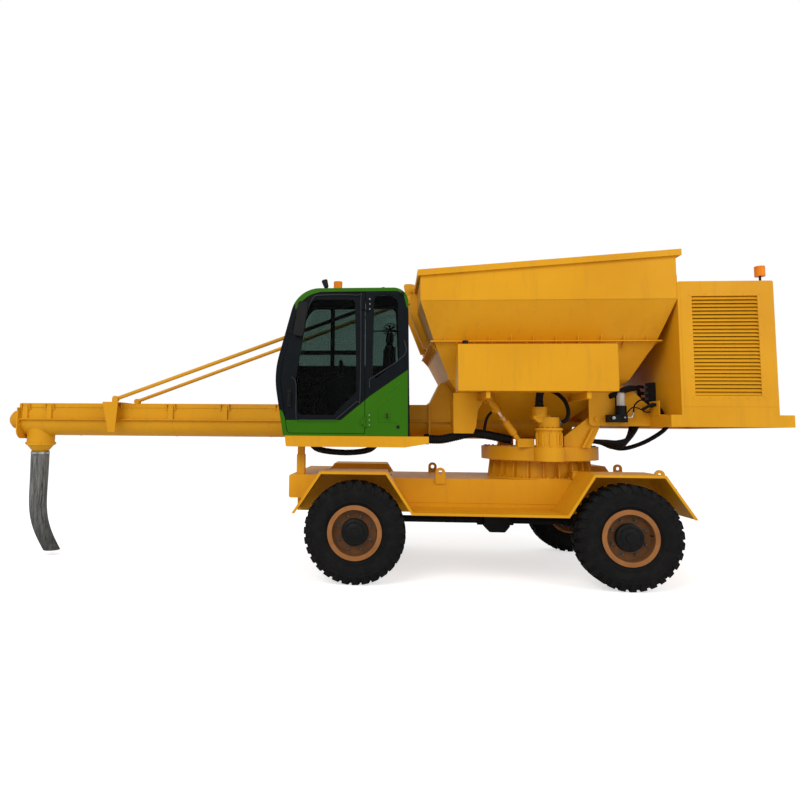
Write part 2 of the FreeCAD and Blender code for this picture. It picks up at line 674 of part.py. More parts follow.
def knuckle():
    """The left knuckle: flange, ears, kingpin, stub axle and steering arm."""
    x, z = FRONT_WHEEL, "tyre_radius"
    ear_low = "tyre_radius - boss_height / 2 - seat_gap"
    ear_high = "tyre_radius + boss_height / 2 + seat_gap"
    height = "(boss_height / 2 + seat_gap + ear_thick)"
    flange = block((f"{x} - knuckle_half", f"{x} + knuckle_half"),
                   ("-(knuckle_face + knuckle_thick)", "-knuckle_face"),
                   (f"{z} - {height}", f"{z} + {height}"))
    ears = []
    for low, high in ((f"{ear_low} - ear_thick", ear_low), (ear_high, f"{ear_high} + ear_thick")):
        ears.append(plan_slab([
            (f"{x} - knuckle_half + 8", "-knuckle_face - 2"),
            (f"{x} - knuckle_half + 8", "-(kingpin_out - 46)", "40"),
            (f"{x} + knuckle_half - 8", "-(kingpin_out - 46)", "40"),
            (f"{x} + knuckle_half - 8", "-knuckle_face - 2"),
        ], low, high))
    pin = rod("Z", (x, "-kingpin_out", f"{z} - {height}"), f"2 * {height}", "kingpin_radius")
    stub = rod("Y", (x, f"-{STUB_END}", z), f"{STUB_END} - knuckle_face", "spindle_radius")
    arm_y = "-(kingpin_out - arm_in)"
    arm_low = "arm_height + tie_radius + seat_gap + 10"
    arm = plan_slab([
        (f"{x} - 20", "-(kingpin_out + 16)"),
        (f"{x} + 40", "-(kingpin_out + 16)"),
        (f"{x} + arm_back + 26", f"{arm_y} - 22", "20"),
        (f"{x} + arm_back + 26", f"{arm_y} + 24", "20"),
        (f"{x} + arm_back - 34", f"{arm_y} + 24"),
        (f"{x} - 20", "-(kingpin_out - 30)"),
    ], arm_low, f"{arm_low} + arm_thick")
    tie_pin = rod("Z", (f"{x} + arm_back", arm_y, "arm_height - tie_radius"),
                  f"2 * tie_radius + 10 + seat_gap + arm_thick", "tie_pin_radius")
    return fuse(flange, *ears, pin, stub, arm, tie_pin)


def steering():
    left = knuckle()
    node(left, "left_knuckle")
    node(mirrored(left), "right_knuckle")
    x = f"({FRONT_WHEEL} + arm_back)"
    y = "(kingpin_out - arm_in)"
    low = "(arm_height - tie_radius)"
    tall = "(2 * tie_radius + 4)"
    bar = rod("Y", (x, f"-({y} - 18)", "arm_height + 2"), f"2 * ({y} - 18)", "tie_radius")
    parts = [bar]
    bores = []
    for sign in ("-", ""):
        parts.append(rod("Z", (x, f"{sign}{y}", low), tall, "tie_eye_radius"))
        bores.append(rod("Z", (x, f"{sign}{y}", low), tall, "tie_pin_radius + running_gap"))
    node(cut(fuse(*parts), *bores), "tie_rod")


# ---- chassis --------------------------------------------------------------------------------------

def arch_line(x, outer, depth):
    """Corners of a fender arch over the wheel at x, from its outer flap inwards, set in by depth."""
    out, inward = ("-", "+") if outer < 0 else ("+", "-")
    rise_out, run_out = "(arch_top - flap_foot)", "(arch_outer_foot - arch_outer_top)"
    rise_in, run_in = "(arch_top - board_top)", "(arch_inner_foot - arch_inner_top)"
    slope_out = f"sqrt(pow({rise_out}; 2) + pow({run_out}; 2))"
    slope_in = f"sqrt(pow({rise_in}; 2) + pow({run_in}; 2))"
    foot = f"({depth}) * {slope_out} / {rise_out}"
    half_out = f"({depth}) * ({slope_out} - {run_out}) / {rise_out}"
    half_in = f"({depth}) * ({slope_in} - {run_in}) / {rise_in}"
    return [
        (f"{x} {out} (arch_outer_foot - {foot})", "flap_foot"),
        (f"{x} {out} (arch_outer_top - {half_out})", f"arch_top - ({depth})"),
        (f"{x} {inward} (arch_inner_top - {half_in})", f"arch_top - ({depth})"),
        (f"{x} {inward} (arch_inner_foot - {half_in})", f"board_top - ({depth})"),
    ]


def band_strip(thickness, low, high):
    """One folded strip over both wheels, with the running board between them."""
    top, under = (arch_line(FRONT_WHEEL, -1, depth) + arch_line(REAR_WHEEL, 1, depth)[::-1]
                  for depth in ("0", thickness))
    return side_slab(top + under[::-1], low, high)


def arch_closing(x, outer):
    """The upright plate between an arch and the deck, on the inner edge of the band."""
    out, inward = ("-", "+") if outer < 0 else ("+", "-")
    drop = "(arch_top - deck_top + 40)"
    out_slope = "(arch_outer_foot - arch_outer_top) / (arch_top - flap_foot)"
    in_slope = "(arch_inner_foot - arch_inner_top) / (arch_top - board_top)"
    return side_slab([
        (f"{x} {out} (arch_outer_top + {drop} * {out_slope})", f"arch_top - {drop}"),
        (f"{x} {out} arch_outer_top", "arch_top"),
        (f"{x} {inward} arch_inner_top", "arch_top"),
        (f"{x} {inward} (arch_inner_top + {drop} * {in_slope})", f"arch_top - {drop}"),
    ], "web_half", "web_half + band_plate")


def chassis():
    front, rear = f"({MID} - chassis_front)", f"({MID} + chassis_rear)"
    frame = body()
    deck_front = f"({front} + 60)"
    pad(frame, "XZ_Plane", rectangle((deck_front, rear), ("web_bottom", "deck_top")),
        "-web_half", "2 * web_half")
    pocket(frame, "XY_Plane",
           rectangle((f"{deck_front} + plate", f"{rear} - plate"),
                     ("-(web_half - plate)", "web_half - plate")),
           "web_bottom", "deck_top - plate - web_bottom")
    flap_rise = "(arch_top - flap_foot)"
    flap_run = "(arch_outer_foot - arch_outer_top)"

    def flap_x(height):
        return f"({FRONT_WHEEL} - arch_outer_foot + ({height} - flap_foot) * {flap_run} / {flap_rise})"

    pad(frame, "XZ_Plane", [
        (front, "nose_bottom", "24"),
        (flap_x("nose_bottom"), "nose_bottom"),
        (flap_x("nose_top"), "nose_top"),
        (front, "nose_top", "24"),
    ], "-nose_half", "2 * nose_half")
    for x in (f"{FRONT_WHEEL} + 460", f"{SLEW} - drum_base_radius", f"{SLEW} + 360", f"{REAR_WHEEL} + 300"):
        pad(frame, "XZ_Plane",
            rectangle((f"{x}", f"{x} + member_long"), ("member_bottom", "deck_top - plate")),
            "-(web_half - plate)", "2 * (web_half - plate)")
    node(frame, "chassis_frame")

    band = fuse(band_strip("band_plate", "web_half", "band_edge"),
                band_strip("lip_tall", "band_edge - lip_thick", "band_edge"),
                arch_closing(FRONT_WHEEL, -1), arch_closing(REAR_WHEEL, 1))
    node(both_sides(band), "fender_bands")


def pedestal():
    drum = turned([
        ("drum_bore", "deck_top"),
        ("drum_base_radius", "deck_top"),
        ("drum_base_radius", "deck_top + drum_flange"),
        ("drum_wall_radius", "deck_top + drum_flange"),
        ("drum_wall_radius", "drum_top - drum_flange"),
        ("drum_top_radius", "drum_top - drum_flange"),
        ("drum_top_radius", "drum_top"),
        ("drum_bore", "drum_top"),
    ])
    rib = pad(drum, "XZ_Plane", [
        ("drum_wall_radius - 2", "deck_top + drum_flange - 1"),
        ("drum_base_radius - 6", "deck_top + drum_flange - 1"),
        ("drum_top_radius - 6", "drum_top - drum_flange + 1"),
        ("drum_wall_radius - 2", "drum_top - drum_flange + 1"),
    ], "-rib_thick / 2", "rib_thick")
    ribs = drum.newObject("PartDesign::PolarPattern", "ribs")
    ribs.Originals = [rib]
    ribs.Axis = ([item for item in drum.Origin.OriginFeatures if item.Role == "Z_Axis"][0], [""])
    ribs.Angle = 360
    bind(ribs, "Occurrences", "rib_count")
    drum.Tip = ribs
    node(place(drum, SLEW), "slew_pedestal")


def lifting_lugs():
    lugs = []
    for x in (ahead("lug_front"), behind("lug_rear")):
        shape = side_slab([
            (f"{x} - lug_half", "deck_top - 60"),
            (f"{x} + lug_half", "deck_top - 60"),
            (f"{x} + lug_half", "lug_eye_height"),
            (f"{x} + lug_half", "lug_eye_height + lug_half", "lug_half - 2"),
            (f"{x} - lug_half", "lug_eye_height + lug_half", "lug_half - 2"),
            (f"{x} - lug_half", "lug_eye_height"),
        ], "web_half", "web_half + lug_plate")
        eye = rod("Y", (x, "-(web_half + lug_plate)", "lug_eye_height"), "lug_plate", "lug_bore")
        lug = cut(shape, eye)
        lugs += [lug, mirrored(lug)]
    node(group(*lugs), "lifting_lugs")


def rest_post():
    x, y = ahead("post_ahead"), "-post_out"
    half, inner = "(post_sleeve / 2)", "(post_sleeve / 2 - post_wall)"
    sleeve = plan_slab(
        [(f"{x} {a} {half}", f"{y} {b} {half}", "12") for a, b in ("--", "+-", "++", "-+")],
        "nose_top", "post_sleeve_top")
    hole = plan_slab(
        [(f"{x} {a} {inner}", f"{y} {b} {inner}") for a, b in ("--", "+-", "++", "-+")],
        "nose_top + 12", "post_sleeve_top")
    node(cut(sleeve, hole), "rest_post_sleeve")
    half = "(post_tube / 2)"
    slider = plan_slab(
        [(f"{x} {a} {half}", f"{y} {b} {half}", "10") for a, b in ("--", "+-", "++", "-+")],
        "nose_top + 158", "post_top")
    node(slider, "rest_post")


def drive_line():
    box_x = ahead("gearbox_ahead")
    low, high = f"({box_x} - gearbox_long / 2)", f"({box_x} + gearbox_long / 2)"
    case = side_slab([
        (low, "member_bottom - 40"),
        (low, "gearbox_bottom + 70"),
        (f"{low} + 60", "gearbox_bottom", "20"),
        (f"{high} - 60", "gearbox_bottom", "20"),
        (high, "gearbox_bottom + 70"),
        (high, "member_bottom - 40"),
    ], "-gearbox_wide / 2", "gearbox_wide / 2")
    hanger = block((f"{low} - 90", f"{high} + 90"), ("-(web_half - plate)", "web_half - plate"),
                   ("member_bottom - 60", "member_bottom"))
    yoke = "shaft_radius + 22"
    shafts = []
    for start, end in ((f"({FRONT_WHEEL} + diff_nose)", low), (high, f"({REAR_WHEEL} - diff_nose)")):
        shafts.append(rod("X", (start, "0", "tyre_radius"), f"({end}) - ({start})", "shaft_radius"))
        shafts.append(rod("X", (start, "0", "tyre_radius"), "70", yoke))
        shafts.append(rod("X", (f"{end} - 70", "0", "tyre_radius"), "70", yoke))
    node(fuse(case, hanger, *shafts), "drive_line")


# ---- turntable ------------------------------------------------------------------------------------

def turntable():
    top = rod("Z", (SLEW, "0", "drum_top + seat_gap"), "cover_top - drum_top - seat_gap", "cover_radius")
    lobe = rod("Z", (ahead("drive_ahead"), "-drive_out", "drum_top + seat_gap"),
               "cover_top - drum_top - seat_gap", "lobe_radius")
    groove = tube("Z", (SLEW, "0", "drum_top"), "cover_top - cover_plate - drum_top",
                  "cover_radius - cover_wall", "bearing_radius")
    swivel = rod("Z", (SLEW, "0", "drum_top"), "cover_top - drum_top + 10", "swivel_radius")
    disc = cut(fuse(top, lobe), groove, swivel)

    z = "pivot_height"
    lug = side_slab([
        (behind("lug_foot_front"), "cover_top - 4"),
        (behind("lug_foot_front"), "cover_top + 122"),
        (f"{PIVOT} - 62", f"{z} + 40", "30"),
        (f"{PIVOT} + 62", f"{z} + 62", "56"),
        (f"{PIVOT} + 62", f"{z} - 50", "40"),
        (behind("lug_foot_rear"), "cover_top - 4"),
    ], "pivot_lug_in", "pivot_lug_out")
    rib = side_slab([
        (behind("lug_foot_front + 190"), "cover_top - 4"),
        (f"{PIVOT} - 66", "side_bottom - 34"),
        (f"{PIVOT} - 40", "side_bottom - 34"),
        (behind("lug_foot_front + 216"), "cover_top - 4"),
    ], "pivot_lug_out - 2", "pivot_lug_out + 46")
    pin = rod("Y", (PIVOT, "-(side_in + side_plate + 14)", z), "side_in + side_plate + 14 - pivot_lug_in",
              "pivot_pin")
    foot_x, foot_z = ahead("ram_foot_ahead"), "ram_foot_height"
    cheeks = []
    reach = "(collar_radius + 6)"
    for low, high in ((f"ram_out - {reach} - clevis_plate", f"ram_out - {reach}"),
                      (f"ram_out + {reach}", f"ram_out + {reach} + clevis_plate")):
        cheeks.append(side_slab([
            (f"{foot_x} - 44", "cover_top - 4"),
            (f"{foot_x} - 44", f"{foot_z} + 44", "40"),
            (f"{foot_x} + 60", f"{foot_z} + 44"),
            (f"{foot_x} + 150", f"{foot_z} + 44"),
            (f"{foot_x} + 150", "cover_top - 4"),
        ], low, high))
    back = block((f"{foot_x} + 64", f"{foot_x} + 150"),
                 (f"-(ram_out + {reach} + 2)", f"-(ram_out - {reach} - 2)"),
                 ("cover_top - 4", f"{foot_z} + 44"))
    foot_pin = rod("Y", (foot_x, f"-(ram_out + {reach} + clevis_plate + 8)", foot_z),
                   f"2 * ({reach} + clevis_plate + 8)", "ram_pin")
    side = fuse(lug, rib, pin, *cheeks, back, foot_pin)
    node(fuse(disc, side, mirrored(side)), "turntable")


def slew_drive():
    x, y = ahead("drive_ahead"), "-drive_out"
    base = turned([
        ("0", "cover_top"),
        ("drive_base_radius", "cover_top"),
        ("drive_base_radius", "cover_top + 22"),
        ("drive_base_radius - 12", "cover_top + 22"),
        ("drive_base_radius - 12", "drive_base_top"),
        ("drive_base_radius + 10", "drive_base_top"),
        ("drive_base_radius + 10", "drive_flange_top"),
        ("drive_mid_radius", "drive_flange_top"),
        ("drive_mid_radius", "drive_mid_top"),
        ("0", "drive_mid_top"),
    ])
    rib = pad(base, "XZ_Plane",
              rectangle(("drive_base_radius - 16", "drive_base_radius - 2"),
                         ("cover_top + 20", "drive_base_top + 1")),
              "-6", "12")
    ribs = base.newObject("PartDesign::PolarPattern", "ribs")
    ribs.Originals = [rib]
    ribs.Axis = ([item for item in base.Origin.OriginFeatures if item.Role == "Z_Axis"][0], [""])
    ribs.Angle = 360
    ribs.Occurrences = 8
    base.Tip = ribs
    place(base, x, y)
    motor_x = f"({x} - motor_ahead)"
    motor = rod("Z", (motor_x, y, "drive_mid_top"), "motor_top - drive_mid_top", "motor_radius")
    neck = side_slab([
        (f"{motor_x} - motor_radius", "drive_mid_top + 20"),
        (f"{motor_x} - motor_radius", "drive_mid_top - 10"),
        (f"{motor_x} - 30", "drive_mid_top - 60"),
        (f"{x} - drive_mid_radius + 30", "drive_mid_top - 60"),
        (f"{x}", "drive_mid_top - 1"),
        (f"{x}", "drive_mid_top + 20"),
    ], "drive_out - motor_radius + 10", "drive_out + motor_radius - 10")
    node(fuse(base, motor, neck), "slew_drive")


def rams():
    """The two luffing rams, each between a hopper pin and a turntable pin."""
    y = "-ram_out"
    head = (ahead("ram_head_ahead"), y, "ram_head_height")
    foot = (ahead("ram_foot_ahead"), y, "ram_foot_height")
    span = "sqrt(pow(ram_head_ahead - ram_foot_ahead; 2) + pow(ram_head_height - ram_foot_height; 2))"

    def eye(point):
        return rod("Y", (point[0], "-(ram_out + ram_eye_half)", point[2]), "2 * ram_eye_half", "ram_eye")

    def bore(point, gap):
        return rod("Y", (point[0], "-(ram_out + ram_eye_half)", point[2]), "2 * ram_eye_half",
                   f"ram_pin + {gap}")

    barrel = strut(head, foot, "barrel_radius", "ram_eye - 8", f"{span} - barrel_long")
    hollow = strut(head, foot, "rod_radius + running_gap", "barrel_long - rod_inside - 15",
                   f"{span} - barrel_long")
    barrel = cut(fuse(barrel, eye(head)), hollow, bore(head, "running_gap"))
    piston = strut(head, foot, "rod_radius", "barrel_long - rod_inside", "ram_eye - 8")
    collar = strut(head, foot, "collar_radius", f"{span} - collar_long", "collar_neck")
    piston = cut(fuse(piston, collar, eye(foot)), bore(foot, "ram_eye_gap"))
    node(both_sides(barrel), "luff_barrels")
    node(both_sides(piston), "luff_rods")


# ---- upper structure ------------------------------------------------------------------------------

def upper_frame():
    taper = "(waist_half - throat_half) / (waist_height - throat_top)"
    seat = f"waist_height - (waist_half - side_in) / ({taper})"
    plate = side_slab([
        (behind("side_front"), "side_bottom", "44"),
        (behind("side_front"), seat),
        (behind("waist_rear"), seat),
        (behind("deck_front + 100"), "engine_deck_top"),
        (behind("deck_front + 100"), "side_bottom"),
    ], "side_in", "side_in + side_plate")
    hole = rod("Y", (PIVOT, "-(side_in + side_plate)", "pivot_height"), "side_plate",
               "pivot_pin + running_gap")
    plate = cut(plate, hole)
    deck = body()
    pad(deck, "XZ_Plane",
        rectangle((behind("deck_front"), behind("rear_reach")), ("deck_bottom", "engine_deck_top")),
        "-deck_half", "2 * deck_half")
    pocket(deck, "XY_Plane",
           rectangle((behind("deck_front + 40"), behind("rear_reach - 40")),
                     ("-(deck_half - 40)", "deck_half - 40")),
           "deck_bottom", "engine_deck_top - deck_bottom - 16")
    cross_front = "(pivot_behind + 154)"
    cross = block((behind(cross_front), behind(f"{cross_front} + 90")), ("-side_in - 2", "side_in + 2"),
                  ("side_bottom", "side_bottom + 90"))
    beam_span = (behind("trough_rear"), behind("deck_front + 20"))
    beams = [block(beam_span, span, ("side_bottom", "side_bottom + 50"))
             for span in (("-200", "-120"), ("120", "200"))]
    node(fuse(plate, mirrored(plate), deck, *beams, cross), "upper_frame")


def hopper_section(holder, height, front, rear, half, inset="0"):
    return outline(holder, "XY_Plane",
                   rectangle((f"{ahead(front)} + {inset}", f"{behind(rear)} - {inset}"),
                             (f"-({half} - {inset})", f"{half} - {inset}")), height)


SECTIONS = [
    ("fold_height", "fold_front", "fold_rear", "fold_half"),
    ("ledge_height", "ledge_front", "ledge_rear", "ledge_half"),
    ("waist_height", "waist_front", "waist_rear", "waist_half"),
    ("trough_axis + trough_flange_thick", "throat_front", "throat_rear", "throat_half"),
]


def loft(holder, kind, inset):
    sections = [hopper_section(holder, *section, inset) for section in SECTIONS]
    feature = holder.newObject(kind, "funnel")
    feature.Profile = sections[0]
    feature.Sections = sections[1:]
    feature.Ruled = True
    return feature


def rim_height(x_expr, drop):
    slope = "(rim_rear_top - rim_front_top) / (rim_front_ahead + rim_rear_behind)"
    return f"rim_front_top + ({x_expr} - {ahead('rim_front_ahead')}) * {slope} - {drop}"


def stay_channel():
    """The upright channel on the front wall with its stay lug, on the left."""
    def wall(height, out):
        lean = "(fold_front - ledge_front) / (fold_height - ledge_height)"
        return ahead(f"fold_front - (fold_height - ({height})) * {lean} + ({out})")

    foot, head = "(ledge_height + ledge_thick)", "(rim_front_top - rim_tall - 22)"
    channel = side_slab([
        (wall(foot, "-6"), foot),
        (wall(foot, "channel_out"), foot),
        (ahead("fold_front + channel_out"), "fold_height"),
        (ahead("fold_front + channel_out"), head),
        (ahead("fold_front - 6"), head),
        (ahead("fold_front - 6"), "fold_height"),
    ], "stay_head_half - channel_wide / 2", "stay_head_half + channel_wide / 2")
    x, z = ahead("stay_head_ahead"), "stay_head_height"
    lug = side_slab([
        (ahead("fold_front - 6"), f"{z} - 60"),
        (ahead("fold_front - 6"), f"{z} + 74"),
        (f"{x} + 6", f"{z} + 95"),
        (f"{x} - 89", f"{z} + 95", "30"),
        (f"{x} - 62", f"{z} - 50", "40"),
    ], "stay_head_half - 8", "stay_head_half + 8")
    return channel, lug


def cheek():
    """The plate beside the throat that carries a ram's upper pin, on the left."""
    x, z = ahead("ram_head_ahead"), "ram_head_height"
    plate = side_slab([
        (ahead("cheek_front"), "cheek_bottom"),
        (ahead("cheek_front"), "waist_height - 147"),
        (f"{x} + 70", "waist_height - 147"),
        (f"{x} + 56", f"{z} - 40", "36"),
        (f"{x} - 44", f"{z} - 10", "30"),
        (ahead("ram_head_ahead + 124"), f"{z} - 130", "120"),
        (ahead("ram_head_ahead + 150"), f"{z} - 336", "90"),
        (ahead("ram_head_ahead + 184"), "cheek_bottom"),
    ], "ram_out - barrel_radius - 24", "ram_out - barrel_radius - 8")
    web = block((ahead("cheek_front"), f"{ahead('cheek_front')} + cheek_plate"),
                ("-(ram_out - barrel_radius - 8)", "-(trough_half + trough_flange + seat_gap)"),
                ("cheek_bottom + 70", "cheek_bottom + 420"))
    return fuse(plate, web)


def hopper():
    shell = body()
    front, rear = ahead("fold_front"), behind("fold_rear")
    pad(shell, "XZ_Plane", [
        (front, "fold_height"), (rear, "fold_height"),
        (rear, rim_height(rear, "2")), (front, rim_height(front, "2")),
    ], "-fold_half", "2 * fold_half")
    rim_front, rim_rear = ahead("rim_front_ahead"), behind("rim_rear_behind")
    pad(shell, "XZ_Plane", [
        (rim_front, "rim_front_top - rim_tall"), (rim_rear, "rim_rear_top - rim_tall"),
        (rim_rear, "rim_rear_top"), (rim_front, "rim_front_top"),
    ], "-(fold_half + rim_out)", "2 * (fold_half + rim_out)")
    loft(shell, "PartDesign::AdditiveLoft", "0")
    pad(shell, "XY_Plane",
        rectangle((f"{ahead('ledge_front')} - ledge_out", f"{behind('ledge_rear')} + ledge_out"),
                  ("-(ledge_half + ledge_out)", "ledge_half + ledge_out")),
        "ledge_height", "ledge_thick")
    for x in ("bracket_front", "-bracket_rear"):
        arm = ahead(x)
        pad(shell, "XZ_Plane",
            rectangle((f"{arm} - bracket_wide / 2", f"{arm} + bracket_wide / 2"),
                      ("tank_bottom - bracket_tall", "tank_bottom")),
            "-(tank_out - 30)", "2 * (tank_out - 30)")
    head_x, head_z = ahead("ram_head_ahead"), "ram_head_height"
    pad(shell, "XZ_Plane",
        [(f"{head_x} {a} 56", f"{head_z} {b} 56", "20") for a, b in ("--", "+-", "++", "-+")],
        "-(ram_out - barrel_radius - 6)", "2 * (ram_out - barrel_radius - 6)")
    loft(shell, "PartDesign::SubtractiveLoft", "hopper_wall")
    pocket(shell, "XY_Plane",
           rectangle((f"{front} + hopper_wall", f"{rear} - hopper_wall"),
                     ("-(fold_half - hopper_wall)", "fold_half - hopper_wall")),
           "fold_height - 1", "rim_rear_top - fold_height + 20")
    pins = rod("Y", (head_x, "-(ram_out + ram_eye_half + 12)", head_z), "ram_eye_half + barrel_radius + 30",
               "ram_pin")
    shell = fuse(shell, pins, mirrored(pins))
    node(cut(shell, screw_bore(), shaft_way_out()), "hopper")
    braces = fuse(*stay_channel(), cheek())
    node(cut(fuse(braces, mirrored(braces)), shell, screw_bore()), "hopper_braces")


def trough_outline(half, top):
    bottom = f"(trough_axis - ({half}))"
    return [(f"-({half})", top), (f"-({half})", bottom, f"{half} - 6"),
            (f"({half})", bottom, f"{half} - 6"), (f"({half})", top)]


def screw_bore():
    """The round space the screw turns in, as far as the rear of the throat."""
    start, end = ahead("root_ahead + 20"), behind("throat_rear - hopper_wall")
    return rod("X", (start, "0", "trough_axis"), f"{end} - {start}", "trough_half - trough_wall")


def shaft_way_out():
    """The narrower space round the shaft behind the throat."""
    start, end = behind("throat_rear - hopper_wall - 2"), behind("trough_rear - root_flange")
    return rod("X", (start, "0", "trough_axis"), f"{end} - {start}", "screw_shaft + moving_gap")


def feed_trough():
    start, end = ahead("root_ahead - root_flange"), behind("trough_rear")
    shell = body()
    pad(shell, "YZ_Plane", trough_outline("trough_half", "trough_axis + trough_flange_thick"), start,
        f"{end} - {start}")
    pad(shell, "YZ_Plane",
        rectangle(("-(trough_half + trough_flange)", "trough_half + trough_flange"),
                  ("trough_axis", "trough_axis + trough_flange_thick")), start, f"{end} - {start}")
    pad(shell, "YZ_Plane",
        rectangle(("-(trough_half + root_flange_out)", "trough_half + root_flange_out"),
                  ("trough_axis - trough_half - 30", "lid_top + 20")),
        ahead("root_ahead"), "root_flange")
    pad(shell, "XZ_Plane", [
        (ahead("root_ahead"), "trough_axis + trough_flange_thick"),
        (ahead("root_ahead"), "lid_top"),
        (ahead("waist_front + 64"), "waist_height"),
        (ahead("waist_front"), "waist_height"),
        (ahead("throat_front"), "trough_axis + trough_flange_thick"),
    ], "-trough_half", "2 * trough_half")
    inside = "trough_half - trough_wall"
    pocket(shell, "XZ_Plane", [
        (ahead("root_ahead - root_flange - trough_wall"), "trough_axis"),
        (ahead("root_ahead - root_flange - trough_wall"), "lid_top - trough_wall"),
        (ahead("waist_front + 56"), "waist_height - trough_wall"),
        (ahead("waist_front - 6"), "waist_height - trough_wall"),
        (ahead("throat_front"), "trough_axis"),
    ], f"-({inside})", f"2 * ({inside})")
    shaft_hole = rod("X", (f"{end} - 40", "0", "trough_axis"), "60", "screw_shaft + running_gap")
    hanger = block((f"{start} + 4", f"{start} + 22"), ("-40", "40"),
                   ("trough_axis - trough_half + 4", "lid_bottom + 30"))
    hanger_ring = rod("X", (f"{start} + 4", "0", "trough_axis"), "18", "screw_shaft + 24")
    front_hole = rod("X", (f"{start}", "0", "trough_axis"), "40", "screw_shaft + running_gap")
    bore = rod("X", (f"{start} - 20", "0", "trough_axis"), f"{end} - ({start}) + 20 - root_flange", inside)
    cover = block((behind("throat_rear - hopper_wall"), behind("trough_rear - 4")),
                  ("-(trough_half - 2)", "trough_half - 2"), ("trough_axis", "throat_top"))
    shell = fuse(cut(shell, bore), cover, hanger, hanger_ring)
    node(cut(shell, shaft_hole, front_hole, shaft_way_out()), "feed_trough")


def helix_point(turn, radius, x0):
    angle = 2 * math.pi * turn
    return Vector(x0 + turn * value("screw_pitch"), radius * math.cos(angle),
                  value("trough_axis") + radius * math.sin(angle))


def feed_screw():
    """A shaft with one helical flight, built of flats."""
    x0 = value(ahead("screw_front"))
    turns = value("(screw_front + screw_rear) / screw_pitch")
    steps = int(turns * value("flight_steps"))
    inner, outer = value("screw_shaft - 2"), value("screw_radius")
    thick = Vector(value("flight_thick"), 0, 0)
    rings = []
    for i in range(steps + 1):
        turn = turns * i / steps
        low, high = helix_point(turn, inner, x0), helix_point(turn, outer, x0)
        rings.append([low, high, high + thick, low + thick])
    faces = []
    for near, far in zip(rings, rings[1:]):
        for k in range(4):
            a, b = near[k], near[(k + 1) % 4]
            c, d = far[(k + 1) % 4], far[k]
            faces.append(Part.Face(Part.makePolygon([a, b, c, a])))
            faces.append(Part.Face(Part.makePolygon([a, c, d, a])))
    for ring in (rings[0], rings[-1]):
        faces.append(Part.Face(Part.makePolygon(ring + ring[:1])))
    solid = Part.Solid(Part.Shell(faces))
    if solid.Volume < 0:
        solid.reverse()
    flight = doc.addObject("Part::Feature", "flight")
    flight.Shape = solid
    shaft = rod("X", (ahead("root_ahead - root_flange - 2"), "0", "trough_axis"),
                "root_ahead - root_flange - 2 + trough_rear - 2", "screw_shaft")
    node(fuse(shaft, flight), "feed_screw")


